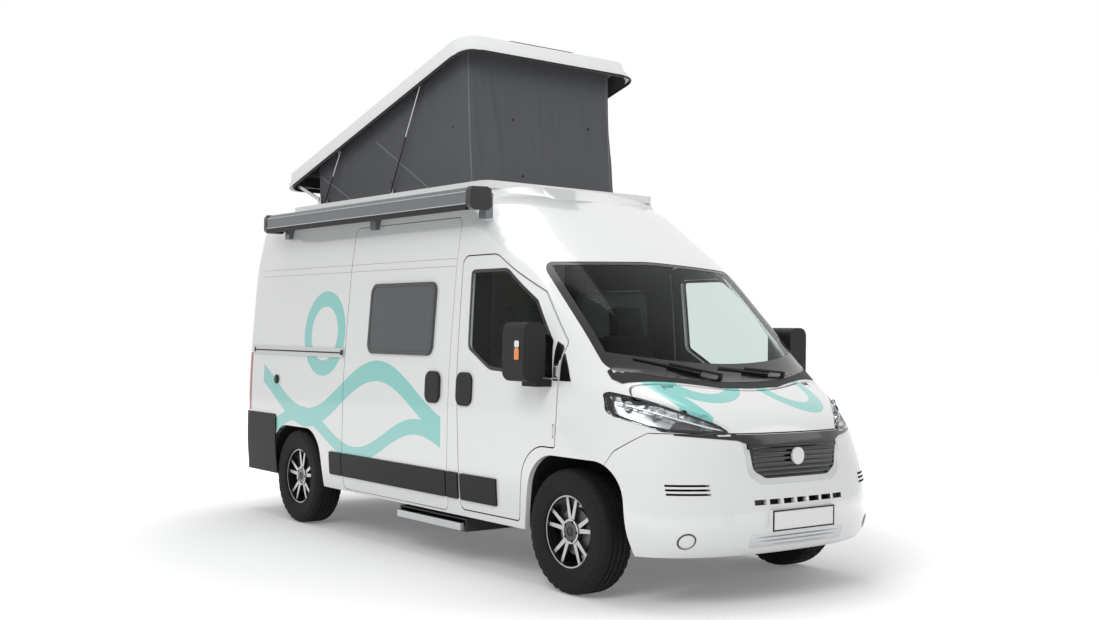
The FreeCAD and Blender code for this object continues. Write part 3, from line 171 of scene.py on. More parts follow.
class Mask:
    """Small helper that builds masks from shader maths, in the row frame's own coordinates."""

    def __init__(self, mat: bpy.types.Material | bpy.types.World) -> None:
        """Takes a material or the world and reads its object coordinates."""
        self.tree = mat.node_tree
        place = self.tree.nodes.new("ShaderNodeTexCoord")
        split = self.tree.nodes.new("ShaderNodeSeparateXYZ")
        self.tree.links.new(place.outputs["Object"], split.inputs[0])
        self.x, self.y, self.z = split.outputs
        turn = self.tree.nodes.new("ShaderNodeSeparateXYZ")
        self.tree.links.new(place.outputs["Normal"], turn.inputs[0])
        self.nx, self.ny, self.nz = turn.outputs

    def do(self, operation: str, *values) -> bpy.types.NodeSocket:
        """One maths node; values are sockets or numbers."""
        node = self.tree.nodes.new("ShaderNodeMath")
        node.operation = operation
        for i, value in enumerate(values):
            if isinstance(value, bpy.types.NodeSocket):
                self.tree.links.new(value, node.inputs[i])
            else:
                node.inputs[i].default_value = value
        return node.outputs[0]

    def both(self, *masks) -> bpy.types.NodeSocket:
        """Where every mask holds."""
        total = masks[0]
        for mask in masks[1:]:
            total = self.do("MULTIPLY", total, mask)
        return total

    def any(self, *masks) -> bpy.types.NodeSocket:
        """Where at least one mask holds."""
        total = masks[0]
        for mask in masks[1:]:
            total = self.do("MAXIMUM", total, mask)
        return total

    def within(self, value, low: float, high: float) -> bpy.types.NodeSocket:
        """Where a value lies between two limits."""
        return self.both(self.do("GREATER_THAN", value, low), self.do("LESS_THAN", value, high))

    def distance(self, u, v, at: tuple[float, float]) -> bpy.types.NodeSocket:
        """Distance from a point in a plane."""
        du, dv = self.do("SUBTRACT", u, at[0]), self.do("SUBTRACT", v, at[1])
        return self.do("SQRT", self.do("ADD", self.do("MULTIPLY", du, du), self.do("MULTIPLY", dv, dv)))

    def line(self, u, v, start: tuple, end: tuple, half: float) -> bpy.types.NodeSocket:
        """A straight stripe from start to end in a plane."""
        run = Vector(end) - Vector(start)
        length = run.length
        run.normalize()
        du, dv = self.do("SUBTRACT", u, start[0]), self.do("SUBTRACT", v, start[1])
        along = self.do("ADD", self.do("MULTIPLY", du, run.x), self.do("MULTIPLY", dv, run.y))
        off = self.do("ADD", self.do("MULTIPLY", du, -run.y), self.do("MULTIPLY", dv, run.x))
        return self.both(self.within(along, 0, length), self.do("LESS_THAN", self.do("ABSOLUTE", off), half))

    def ease(self, value, low: float, high: float, reach: tuple = (0.0, 1.0)) -> bpy.types.NodeSocket:
        """A value that goes smoothly from low to high over its reach."""
        node = self.tree.nodes.new("ShaderNodeMapRange")
        node.interpolation_type = "SMOOTHSTEP"
        for key, level in (("From Min", reach[0]), ("From Max", reach[1]), ("To Min", low), ("To Max", high)):
            node.inputs[key].default_value = level
        self.tree.links.new(value, node.inputs["Value"])
        return node.outputs["Result"]

    def seen(self) -> bpy.types.NodeSocket:
        """Where the eye looks, straight or in glass and metal, and not where light is gathered."""
        path = self.tree.nodes.new("ShaderNodeLightPath")
        return self.any(*[path.outputs[f"Is {ray} Ray"] for ray in ("Camera", "Transmission", "Glossy")])

    def blend(self, base, color: Point, mask) -> bpy.types.NodeSocket:
        """The base colour, with another one where the mask holds."""
        node = self.tree.nodes.new("ShaderNodeMix")
        node.data_type = "RGBA"
        self.tree.links.new(mask, node.inputs["Factor"])
        self.tree.links.new(base, node.inputs[6])
        node.inputs[7].default_value = (*color, 1)
        return node.outputs[2]


@dataclass(frozen=True)
class GraphicPaint(Finish):
    """White body paint with generic turquoise hills and a sun ring on the sides, and arcs on the bonnet; thin dark
    lines on the sides are painted shade of the pressed seams, and the shell's inward faces get painted shade.
    """

    accent: Point = (0.19, 0.60, 0.55)
    # Painted shade: the dark grey of the pressed side lines stands in for the shade in their creases.
    seam: Point = (0.16, 0.16, 0.165)
    side_x: float = 0.88
    sun: tuple[float, float] = (1.28, 1.52)
    sun_radii: tuple[float, float] = (0.21, 0.33)
    hills: tuple = ((0.98, 0.20, 2.9, 0.3, 0.15), (0.70, 0.13, 3.6, 2.0, 0.11))
    hill_span: tuple[float, float] = (-0.42, 2.30)
    # Painted shade: near-black for the shell's faces that look inward, standing in for the shade inside the body; the
    # limit and the middle height pick those faces.
    inner: Point = (0.075, 0.076, 0.08)
    inner_limit: float = -0.12
    middle: float = 1.0

    def tint(self, mat: bpy.types.Material, color: bpy.types.NodeSocket) -> bpy.types.NodeSocket:
        """Paints the hills, the ring, the bonnet's arcs, painted shade along the thin pressed seams and painted shade
        on the inward faces.
        """
        m = Mask(mat)
        side = m.do("GREATER_THAN", m.do("ABSOLUTE", m.x), self.side_x)
        away = m.distance(m.y, m.z, self.sun)
        ring = m.within(away, *self.sun_radii)
        shapes = []
        cover = None
        for height, swing, rate, phase, band in self.hills:
            wave = m.do("SINE", m.do("ADD", m.do("MULTIPLY", m.y, rate), phase))
            off = m.do("SUBTRACT", m.z, m.do("ADD", m.do("MULTIPLY", wave, swing), height))
            shapes.append(m.within(off, 0.0, band))
            if cover is None:
                cover = m.do("GREATER_THAN", off, band + 0.05)
        span = m.within(m.y, *self.hill_span)
        art = m.both(side, span, m.any(m.both(ring, cover), *shapes))
        front = m.both(m.within(m.y, -2.62, -2.0), m.do("GREATER_THAN", m.z, 0.99))
        arcs = []
        for at, low, high in (((-0.34, -2.12), 0.20, 0.29), ((0.30, -2.26), 0.17, 0.26)):
            arcs.append(m.within(m.distance(m.x, m.y, at), low, high))
        slant = m.line(m.x, m.y, (-0.72, -2.0), (-0.56, -2.5), 0.05)
        bonnet = m.both(front, m.do("LESS_THAN", m.do("ABSOLUTE", m.x), 0.8), m.any(slant, *arcs))
        # Painted shade: thin dark lines where the side's pressed seams run; no groove is modelled under them.
        seams = m.both(side, m.within(m.y, -0.49, 2.45), m.any(m.within(m.z, 1.988, 1.991), m.within(m.z, 2.04, 2.043)))
        color = m.blend(color, self.accent, m.any(art, bonnet))
        color = m.blend(color, self.seam, seams)
        # Painted shade: faces turned towards the van's middle get the near-black inner colour.
        outward = m.do("ADD", m.do("MULTIPLY", m.x, m.nx), m.do("MULTIPLY", m.do("MULTIPLY", m.y, m.ny), 0.35))
        outward = m.do("ADD", outward, m.do("MULTIPLY", m.do("SUBTRACT", m.z, self.middle), m.nz))
        return m.blend(color, self.inner, m.do("LESS_THAN", outward, self.inner_limit))


@dataclass(frozen=True)
class TentCloth(Finish):
    """Grey tent cloth with pale piping along its diagonal seams and dark press studs."""

    pale: Point = (0.20, 0.205, 0.215)
    dark: Point = (0.03, 0.03, 0.033)
    seams: tuple = (((1.076, 3.026), (0.702, 2.820)), ((0.702, 2.820), (0.280, 2.596)),
                    ((1.977, 2.833), (1.685, 2.705)), ((1.685, 2.705), (1.414, 2.587)))
    studs: tuple = ((-0.26, 3.10), (0.46, 3.11), (-0.19, 2.69))
    side_studs: tuple = ((0.00, 3.02), (0.84, 2.69))

    def tint(self, mat: bpy.types.Material, color: bpy.types.NodeSocket) -> bpy.types.NodeSocket:
        """Draws the piping, the corner seams and the studs."""
        m = Mask(mat)
        side = m.do("GREATER_THAN", m.do("ABSOLUTE", m.x), 0.66)
        lines = [m.line(m.y, m.z, a, b, 0.006) for a, b in self.seams]
        corner = m.both(m.within(m.do("ABSOLUTE", m.x), 0.645, 0.653), m.do("LESS_THAN", m.y, 0.5))
        color = m.blend(color, self.pale, m.any(m.both(side, m.any(*lines)), corner))
        front = m.do("LESS_THAN", m.y, -0.09)
        dots = [m.both(front, m.do("LESS_THAN", m.distance(m.x, m.z, at), 0.012)) for at in self.studs]
        dots += [m.both(side, m.do("LESS_THAN", m.distance(m.y, m.z, at), 0.012)) for at in self.side_studs]
        return m.blend(color, self.dark, m.any(*dots))


@dataclass(frozen=True)
class FacedRim(Finish):
    """Black rim whose outward faces between two radii are machined bright."""

    bright: Point = (0.62, 0.63, 0.64)
    low: float = 0.062
    face: float = 0.955

    def tint(self, mat: bpy.types.Material, color: bpy.types.NodeSocket) -> bpy.types.NodeSocket:
        """Brightens the flat outward faces of the spokes."""
        m = Mask(mat)
        flat = m.do("GREATER_THAN", m.do("ABSOLUTE", m.nx), self.face)
        out = m.do("GREATER_THAN", m.do("ABSOLUTE", m.x), 0.93)
        front = m.distance(m.y, m.z, (FRONT_AXLE_Y, WHEEL_Z))
        rear = m.distance(m.y, m.z, (REAR_AXLE_Y, WHEEL_Z))
        away = m.do("MINIMUM", front, rear)
        return m.blend(color, self.bright, m.both(flat, out, m.do("GREATER_THAN", away, self.low)))


PAINT = GraphicPaint("paint_white", (0.80, 0.81, 0.81), rough=0.3, coat=1.0, grain=0.012, grain_scale=6)
BLACK_GLOSS = Finish("black_gloss", (0.007, 0.007, 0.008), rough=0.16, coat=0.25, shine=0.4)
BLACK_MATT = Finish("black_grained_plastic", (0.013, 0.013, 0.014), rough=0.55, bump=0.25, bump_scale=900,
                    shine=0.25)
DARK_GREY = Finish("dark_grey_plastic", (0.055, 0.057, 0.06), rough=0.5, bump=0.2, bump_scale=700)
CHASSIS = Finish("chassis_black", (0.03, 0.03, 0.032), rough=0.6)
GLASS = Finish("green_glass", (0.80, 0.86, 0.84), rough=0.0, clear=1.0, grain=0.0)
TINTED = Finish("tinted_acrylic", (0.13, 0.14, 0.15), rough=0.06, clear=0.35, coat=0.5)
LAMP_GLASS = Finish("lamp_cover", (0.93, 0.95, 0.96), rough=0.02, clear=0.97, grain=0.0)
CHROME = Finish("bright_chrome", (0.78, 0.79, 0.80), rough=0.1, metal=1.0, grain=0.01)
RED_LENS = Finish("red_lens", (0.42, 0.008, 0.01), rough=0.12, coat=0.8, grain=0.05, grain_scale=90)
AMBER = Finish("amber_lens", (0.85, 0.25, 0.03), rough=0.15, coat=0.6)
RUBBER = Finish("tyre_rubber", (0.012, 0.012, 0.012), rough=0.72, bump=0.2, bump_scale=500, shine=0.2)
RIM_BLACK = FacedRim("rim_black", (0.012, 0.012, 0.013), rough=0.25, coat=0.7)
PAINT_PLAIN = Finish("paint_plain", (0.78, 0.79, 0.79), rough=0.32, coat=1.0, grain=0.012, grain_scale=6)
REFLECTOR = Finish("lamp_reflector", (0.42, 0.43, 0.44), rough=0.22, metal=0.9, grain=0.15, grain_scale=40)
LAMP_CORE = Finish("lamp_core", (0.85, 0.88, 0.92), rough=0.2, glow=0.15)
PLATE_WHITE = Finish("plate_white", (0.83, 0.83, 0.82), rough=0.3, coat=0.5)
DAMPER = Finish("wiper_rubber", (0.015, 0.015, 0.016), rough=0.65)
SCREEN_OFF = Finish("dark_display", (0.01, 0.011, 0.013), rough=0.08, coat=1.0)
MIRROR = Finish("mirror_glass", (0.72, 0.75, 0.77), rough=0.02, metal=1.0, grain=0.0)
BEDDING = Finish("mattress_cloth", (0.36, 0.37, 0.39), rough=0.9, grain=0.1, grain_scale=500, bump=0.4)
CURTAIN = Finish("pillow_cloth", (0.60, 0.60, 0.58), rough=0.9, grain=0.06, grain_scale=500, bump=0.3)
MACHINED = Finish("machined_alloy", (0.72, 0.73, 0.74), rough=0.24, metal=1.0, grain=0.05, grain_scale=120)
STEEL = Finish("brushed_steel", (0.52, 0.53, 0.54), rough=0.35, metal=1.0, grain=0.08, grain_scale=80)
IRON = Finish("cast_iron", (0.16, 0.16, 0.165), rough=0.55, metal=0.8, bump=0.3, bump_scale=200)
SILVER = Finish("silver_plastic", (0.55, 0.56, 0.57), rough=0.3, metal=0.6, coat=0.3)
ANODISED = Finish("anodised_grey", (0.17, 0.18, 0.19), rough=0.38, metal=0.7, grain=0.03)
CLOTH = TentCloth("tent_cloth", (0.105, 0.108, 0.115), rough=0.9, grain=0.12, grain_scale=900, bump=0.5,
               bump_scale=1400)
SEAT = Finish("seat_fabric", (0.018, 0.018, 0.020), rough=0.9, grain=0.2, grain_scale=600, bump=0.4, shine=0.1)
INTERIOR = Finish("dash_plastic", (0.022, 0.022, 0.024), rough=0.6, bump=0.3, bump_scale=900, shine=0.2)
WOOD = Finish("pale_units", (0.56, 0.50, 0.42), rough=0.45, grain=0.12, grain_scale=9)


# Mesh helpers


def turns(steps: int) -> list:
    """Even angles round a circle, in radians."""
    return [2 * math.pi * k / steps for k in range(steps)]


def grid(rows: int, columns: int, round_rows: bool = False, round_columns: bool = True) -> list:
    """Four-sided faces between points that are numbered row by row.

    Args:
        rows: how many rows of points there are.
        columns: how many points a row has.
        round_rows: whether the last row meets the first.
        round_columns: whether a row's last point meets its first.

    Returns:
        The faces.
    """
    faces = []
    for i in range(rows if round_rows else rows - 1):
        here, after = i * columns, (i + 1) % rows * columns
        for k in range(columns if round_columns else columns - 1):
            nxt = (k + 1) % columns
            faces.append((here + k, here + nxt, after + nxt, after + k))
    return faces


def mesh_piece(name: str, verts: list, faces: list, finish: Finish, smooth: float = 35.0,
               body: str = "vehicle") -> bpy.types.Object:
    """A new piece from vertices and faces that rides on a body.

    Args:
        name: the piece's name.
        verts: its points in the row frame, in metres.
        faces: its faces as tuples of point numbers.
        finish: its finish.
        smooth: edges sharper than this, in degrees, stay sharp.
        body: the CAD body it rides on.

    Returns:
        The new object.
    """
    mesh = bpy.data.meshes.new(name)
    mesh.from_pydata([tuple(v) for v in verts], [], faces)
    mesh.update()
    obj = bpy.data.objects.new(name, mesh)
    bpy.context.scene.collection.objects.link(obj)
    mesh.materials.append(finish.make())
    tidy(obj, smooth)
    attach(obj, body)
    return obj


def tidy(obj: bpy.types.Object, smooth: float = 35.0) -> None:
    """Merges doubled points, turns faces outwards and sets smooth shading."""
    bm = bmesh.new()
    bm.from_mesh(obj.data)
    bmesh.ops.remove_doubles(bm, verts=bm.verts, dist=0.00005)
    bmesh.ops.recalc_face_normals(bm, faces=bm.faces)
    bm.to_mesh(obj.data)
    bm.free()
    obj.data.shade_smooth()
    obj.data.set_sharp_from_angle(angle=math.radians(smooth))


class Builder:
    """Collects points and faces of many small shapes into one piece."""

    def __init__(self) -> None:
        """Starts empty."""
        self.verts: list = []
        self.faces: list = []

    def add(self, verts: list, faces: list) -> "Builder":
        """Adds a shape's points and faces, and hands the builder back."""
        start = len(self.verts)
        self.verts += [Vector(v) for v in verts]
        self.faces += [tuple(i + start for i in face) for face in faces]
        return self

    def box(self, low: Point, high: Point, turn: Matrix | None = None) -> "Builder":
        """Adds a block between two corners, turned about its centre if asked."""
        middle = (Vector(low) + Vector(high)) / 2
        half = (Vector(high) - Vector(low)) / 2
        corners = [Vector((x, y, z)) for x in (-1, 1) for y in (-1, 1) for z in (-1, 1)]
        points = [Vector((c.x * half.x, c.y * half.y, c.z * half.z)) for c in corners]
        if turn:
            points = [turn @ p for p in points]
        return self.add([p + middle for p in points],
                        [(0, 1, 3, 2), (4, 6, 7, 5), (0, 4, 5, 1), (2, 3, 7, 6), (0, 2, 6, 4), (1, 5, 7, 3)])

    def tube(self, path: list, radius: float, sides: int = 10, closed: bool = False) -> "Builder":
        """Adds a round bar along a path of points."""
        points = [Vector(p) for p in path]
        count = len(points)
        rings = []
        for i, here in enumerate(points):
            before = points[i - 1] if (closed or i) else here
            after = points[(i + 1) % count] if (closed or i < count - 1) else here
            along = (after - before).normalized()
            side = along.cross(Vector((0, 0, 1)))
            if side.length < 0.1:
                side = along.cross(Vector((1, 0, 0)))
            side.normalize()
            up = side.cross(along)
            rings.append([here + (side * math.cos(t) + up * math.sin(t)) * radius for t in turns(sides)])
        faces = grid(count, sides, closed)
        if not closed:
            faces += [tuple(range(sides)), tuple(range((count - 1) * sides, count * sides))]
        return self.add([p for ring in rings for p in ring], faces)

    def lathe(self, profile: list, centre: Point, steps: int = 64) -> "Builder":
        """Adds a shape turned about the x axis through centre; the profile is (x, radius)."""
        middle = Vector(centre)
        points = [middle + Vector((x, r * math.sin(t), r * math.cos(t))) for x, r in profile for t in turns(steps)]
        return self.add(points, grid(len(profile), steps))

    def plate(self, outline: list, lift: Vector) -> "Builder":
        """Adds a flat plate: an outline of points, thickened by a vector."""
        points = [Vector(p) for p in outline]
        count = len(points)
        faces = [tuple(range(count)), tuple(range(2 * count - 1, count - 1, -1))]
        faces += [(i, (i + 1) % count, (i + 1) % count + count, i + count) for i in range(count)]
        return self.add(points + [p + lift for p in points], faces)

    def piece(self, name: str, finish: Finish, slot: str, smooth: float = 35.0,
              body: str = "vehicle") -> bpy.types.Object:
        """Makes the collected shapes one piece."""
        return mesh_piece(name, self.verts, self.faces, finish, smooth, body)


def block(name: str, low: Point, high: Point, finish: Finish, slot: str, smooth: float = 30,
          body: str = "vehicle") -> None:
    """Makes a plain block one piece."""
    Builder().box(low, high).piece(name, finish, slot, smooth, body)


# Studio


@dataclass
class Studio:
    """A pale floor and backdrop, even soft light and the camera of the photograph."""

    eye: Point = (-5.78514, -7.70538, 1.54004)
    yaw: float = 37.954
    pitch: float = 1.0796
    roll: float = 0.856
    lens: float = 42.085
    world: float = 0.46
    lamps: list = field(default_factory=lambda: [
        ((-7.5, -5.5, 6.5), 4.0, 330.0), ((6.5, -7.5, 6.0), 5.0, 90.0), ((0.0, 1.0, 8.5), 6.0, 250.0)])
    glow: tuple[float, float] = (0.16, 1.0)
    glow_reach: tuple[float, float] = (2.2, 5.5)

    def build(self) -> None:
        """Makes the whole studio."""
        self.backdrop()
        self.light()
        self.camera()

    def backdrop(self) -> None:
        """A wide flat floor that glows white to the eye away from the van and keeps its shadow near it."""
        far, near, wide = 20.0, -40.0, 60.0
        mesh = bpy.data.meshes.new("studio_floor")
        mesh.from_pydata([(-wide, near, 0), (wide, near, 0), (-wide, far, 0), (wide, far, 0)], [], [(0, 1, 3, 2)])
        floor = bpy.data.objects.new("studio_floor", mesh)
        bpy.context.scene.collection.objects.link(floor)
        mat = bpy.data.materials.new("studio_white")
        mat.use_nodes = True
        shader = mat.node_tree.nodes["Principled BSDF"]
        for key, value in (("Base Color", (0.9, 0.9, 0.9, 1)), ("Roughness", 0.9), ("Specular IOR Level", 0.1),
                           ("Emission Color", (1, 1, 1, 1))):
            shader.inputs[key].default_value = value
        m = Mask(mat)
        glow = m.ease(m.distance(m.x, m.y, (0.0, 0.0)), *self.glow, self.glow_reach)
        m.tree.links.new(m.both(m.seen(), glow), shader.inputs["Emission Strength"])
        mesh.materials.append(mat)

    def light(self) -> None:
        """Even white light from all round, and three large soft lamps."""
        world = bpy.data.worlds.new("studio_world")
        bpy.context.scene.world = world
        world.use_nodes = True
        back = world.node_tree.nodes["Background"]
        back.inputs["Color"].default_value = (1, 1, 1, 1)
        m = Mask(world)
        m.tree.links.new(m.ease(m.seen(), self.world, 1.0), back.inputs["Strength"])
        for i, (place, size, power) in enumerate(self.lamps):
            lamp = bpy.data.lights.new(f"softbox_{i}", "AREA")
            lamp.energy = power
            lamp.size = size
            obj = bpy.data.objects.new(f"softbox_{i}", lamp)
            obj.location = place
            obj.rotation_euler = (Vector((0, 0, 1)) - Vector(place)).to_track_quat("-Z", "Y").to_euler()
            obj.visible_glossy = i > 0
            bpy.context.scene.collection.objects.link(obj)

    def camera(self) -> None:
        """Puts the camera where the photograph was taken from."""
        yaw, pitch, roll = [math.radians(a) for a in (self.yaw, self.pitch, self.roll)]
        ahead = Vector((math.cos(pitch) * math.sin(yaw), math.cos(pitch) * math.cos(yaw), math.sin(pitch)))
        right = Vector((math.cos(yaw), -math.sin(yaw), 0))
        up = right.cross(ahead)
        across = right * math.cos(roll) + up * math.sin(roll)
        above = up * math.cos(roll) - right * math.sin(roll)
        turn = Matrix((across, above, -ahead)).transposed().to_4x4()
        data = bpy.data.cameras.new("camera")
        data.lens = self.lens
        data.sensor_width = 36.0
        cam = bpy.data.objects.new("camera", data)
        cam.matrix_world = Matrix.Translation(self.eye) @ turn
        bpy.context.scene.collection.objects.link(cam)
        bpy.context.scene.camera = cam


# CAD panels and fixed pieces


@dataclass
class Panels:
    """Finishes and shading of the CAD nodes that are shown as they are."""

    weld: float = 0.00005
    smooth: float = 28.0
    finishes: dict = field(default_factory=lambda: {
        "paint": PAINT, "dark_plastic": BLACK_MATT, "gloss_black": BLACK_GLOSS, "glass": GLASS,
        "dark_glass": TINTED, "lamp_clear": LAMP_GLASS, "lamp_red": RED_LENS, "tyre": RUBBER,
        "rim": RIM_BLACK, "chassis": CHASSIS, "iron": IRON, "steel": STEEL, "awning": ANODISED,
        "cloth": CLOTH, "seat": SEAT, "interior": INTERIOR, "wood": WOOD, "silver": SILVER})

    def build(self) -> None:
        """Gives every CAD node its finish and smooth shading."""
        slots = {s["node"]: s["material_slot"] for s in frame["record"]["subparts"]}
        for name, obj in NODES.items():
            obj.data.materials.clear()
            obj.data.materials.append(self.finishes[slots[name]].make())
            self.shade(obj)
        LOG.info("panels: %d nodes dressed", len(NODES))

    def shade(self, obj: bpy.types.Object) -> None:
        """Smooths a node's curved faces and keeps its real edges sharp."""
        mesh = obj.data
        mesh.shade_smooth()
        places = [tuple(round(c, 5) for c in v.co) for v in mesh.vertices]
        normals = {}
        for face in mesh.polygons:
            for a, b in face.edge_keys:
                normals.setdefault(frozenset((places[a], places[b])), []).append(face.normal)
        limit = math.cos(math.radians(self.smooth))
        flags = []
        for edge in mesh.edges:
            faces = normals.get(frozenset(places[i] for i in edge.vertices), [])
            flags.append(len(faces) != 2 or faces[0].dot(faces[1]) < limit)
        layer = mesh.attributes.get("sharp_edge") or mesh.attributes.new("sharp_edge", "BOOLEAN", "EDGE")
        layer.data.foreach_set("value", flags)
        weld = obj.modifiers.new("weld", "WELD")
        weld.merge_threshold = self.weld


# Reading the CAD surfaces


class Skin:
    """Rays onto the surfaces of some CAD nodes, to lay trim on them."""

    def __init__(self, *names: str) -> None:
        """Takes the nodes' meshes as one surface."""
        verts, faces = [], []
        for name in names:
            mesh = NODES[name].data
            start = len(verts)
            verts += [v.co.copy() for v in mesh.vertices]
            faces += [tuple(start + i for i in face.vertices) for face in mesh.polygons]
        self.tree = BVHTree.FromPolygons(verts, faces)

    def front(self, x: float, z: float) -> tuple[Vector, Vector] | None:
        """The first place seen from straight ahead of the van, and its normal."""
        return self.hit((x, FROM_FRONT[1], z), (0, 1, 0))

    def line(self, points, lift: float) -> list:
        """The places under (x, z) points seen from ahead, raised by lift along the surface's normal."""
        found = [self.front(x, z) for x, z in points]
        return [hit[0] + hit[1] * lift for hit in found if hit]

    def hit(self, start: Point, way: Point) -> tuple[Vector, Vector] | None:
        """The first place a ray meets, and its normal turned towards the ray's start."""
        place, normal, _, _ = self.tree.ray_cast(Vector(start), Vector(way).normalized())
        if place is None:
            return None
        return place, (normal if normal.dot(Vector(way)) < 0 else -normal)


AXES = {"x": (1, 2), "y": (0, 2), "z": (0, 1)}


def fill(outline: list, step: float) -> tuple[list, list]:
    """Fills a plane outline with small triangles.

    Args:
        outline: the corner points (u, v) in order.
        step: about how far the inner points lie apart.

    Returns:
        The points and the triangles.
    """
    edge = []
    for i, here in enumerate(outline):
        after = outline[(i + 1) % len(outline)]
        run = math.dist(here, after)
        parts = max(1, math.ceil(run / step))
        edge += [Vector(here).lerp(Vector(after), k / parts) for k in range(parts)]
    count = len(edge)
    us, vs = [p[0] for p in outline], [p[1] for p in outline]
    inner = []
    for i in range(1, int((max(us) - min(us)) / step) + 1):
        for k in range(1, int((max(vs) - min(vs)) / step) + 1):
            point = Vector((min(us) + i * step, min(vs) + k * step))
            if min((point - e).length for e in edge) > step * 0.45:
                inner.append(point)
    rim = [(i, (i + 1) % count) for i in range(count)]
    found = geometry.delaunay_2d_cdt(edge + inner, rim, [], 1, 1e-6)
    return found[0], [tuple(f) for f in found[2]]


def patch(name: str, outline: list, view: View, finish: Finish, nodes: tuple = ("body_shell",),
          lift: float = 0.0012, step: float = 0.03, thick: float = 0.0,
          body: str = "vehicle") -> bpy.types.Object | None:
    """A thin piece laid on the CAD surface by rays along an axis.

    Args:
        name: the piece's name.
        outline: its corners in the plane across the rays.
        view: the axis that the rays run along, and where on it they start.
        finish: its finish.
        nodes: the CAD nodes it lies on.
        lift: how far it stands proud.
        step: about how large its facets are.
        thick: how far its edge goes back down, none if 0.
        body: the body it rides on.

    Returns:
        The piece, or None where no ray met the surface.
    """
    skin = Skin(*nodes)
    points, faces = fill(outline, step)
    axis, start = view
    along = "xyz".index(axis)
    way = [0.0, 0.0, 0.0]
    way[along] = -1.0 if start > 0 else 1.0
    u, v = AXES[axis]
    placed, missed = [], set()
    for i, point in enumerate(points):
        at = [0.0, 0.0, 0.0]
        at[along], at[u], at[v] = start, point[0], point[1]
        found = skin.hit(at, way)
        if found is None:
            missed.add(i)
            placed.append(Vector((0, 0, 0)))
        else:
            placed.append(found[0] + found[1] * lift)
    faces = [f for f in faces if not missed & set(f)]
    if not faces:
        LOG.warning("%s meets no surface", name)
        return None
    used = sorted({i for f in faces for i in f})
    number = {old: new for new, old in enumerate(used)}
    verts = [placed[i] for i in used]
    faces = [tuple(number[i] for i in f) for f in faces]
    obj = mesh_piece(name, verts, faces, finish, 40, body)
    if thick:
        solid = obj.modifiers.new("thick", "SOLIDIFY")
        solid.thickness = thick
        solid.offset = 1.0
    return obj


def rounded(low: tuple, high: tuple, radius: float, steps: int = 5) -> list:
    """A rounded rectangle's outline in a plane."""
    corners = [((high[0] - radius, high[1] - radius), 0), ((low[0] + radius, high[1] - radius), 90),
               ((low[0] + radius, low[1] + radius), 180), ((high[0] - radius, low[1] + radius), 270)]
    points = []
    for (u, v), turn in corners:
        for i in range(steps + 1):
            angle = math.radians(turn + 90 * i / steps)
            points.append((u + radius * math.cos(angle), v + radius * math.sin(angle)))
    return points


def circle(at: tuple, radius: float, steps: int = 28) -> list:
    """A circle's outline in a plane."""
    return [(at[0] + radius * math.cos(t), at[1] + radius * math.sin(t)) for t in turns(steps)]


def border(name: str, node: str, out: Point, width: float, body: str = "vehicle",
           lift: float = 0.0008) -> bpy.types.Object:
    """A black printed band along the edge of a pane's outer face.

    Args:
        name: the piece's name.
        node: the pane's CAD node.
        out: the way its outer face looks.
        width: the band's width.
        body: the body it rides on.
        lift: how far it stands proud of the glass.

    Returns:
        The band.
    """
    mesh = NODES[node].data
    look = Vector(out).normalized()
    key = {i: tuple(round(c, 5) for c in v.co) for i, v in enumerate(mesh.vertices)}
    outer = [f for f in mesh.polygons if f.normal.dot(look) > 0.35]
    follows, seen = {}, {}
    for face in outer:
        ring = [key[i] for i in face.vertices]
        for a, b in zip(ring, ring[1:] + ring[:1]):
            seen[(a, b)] = face.normal.copy()
    for (a, b), normal in seen.items():
        if (b, a) not in seen:
            follows[a] = (b, normal)
    loops, left = [], set(follows)
    while left:
        start = next(iter(sorted(left)))
        loop = [start]
        left.discard(start)
        here = follows[start][0]
        while here in left:
            loop.append(here)
            left.discard(here)
            here = follows[here][0]
        loops.append(loop)
    loop = max(loops, key=lambda ring: sum(math.dist(a, b) for a, b in zip(ring, ring[1:])))
    points = resample([Vector(p) for p in loop], 0.02)
    tree = BVHTree.FromPolygons([v.co.copy() for v in mesh.vertices], [tuple(f.vertices) for f in outer])
    rows, shares = [], (0.02, 0.35, 0.7, 1.0)
    count = len(points)
    for i, here in enumerate(points):
        along = (points[(i + 1) % count] - points[i - 1]).normalized()
        _, normal, _, _ = tree.find_nearest(here)
        inward = normal.cross(along).normalized()
        row = []
        for share in shares:
            place, face_normal, _, _ = tree.find_nearest(here + inward * width * share)
            row.append(place + face_normal * lift)
        rows.append(row)
    faces = grid(count, len(shares), True, False)
    return mesh_piece(name, [p for row in rows for p in row], faces, BLACK_GLOSS, 60, body)


def resample(loop: list, step: float) -> list:
    """Evenly spaced points along a closed line."""
    lengths = [(loop[(i + 1) % len(loop)] - loop[i]).length for i in range(len(loop))]
    total = sum(lengths)
    count = max(8, round(total / step))
    result, i, gone = [], 0, 0.0
    for k in range(count):
        want = total * k / count
        while gone + lengths[i] < want:
            gone += lengths[i]
            i += 1
        share = (want - gone) / lengths[i] if lengths[i] else 0
        result.append(loop[i].lerp(loop[(i + 1) % len(loop)], share))
    return result


# Tent and roof


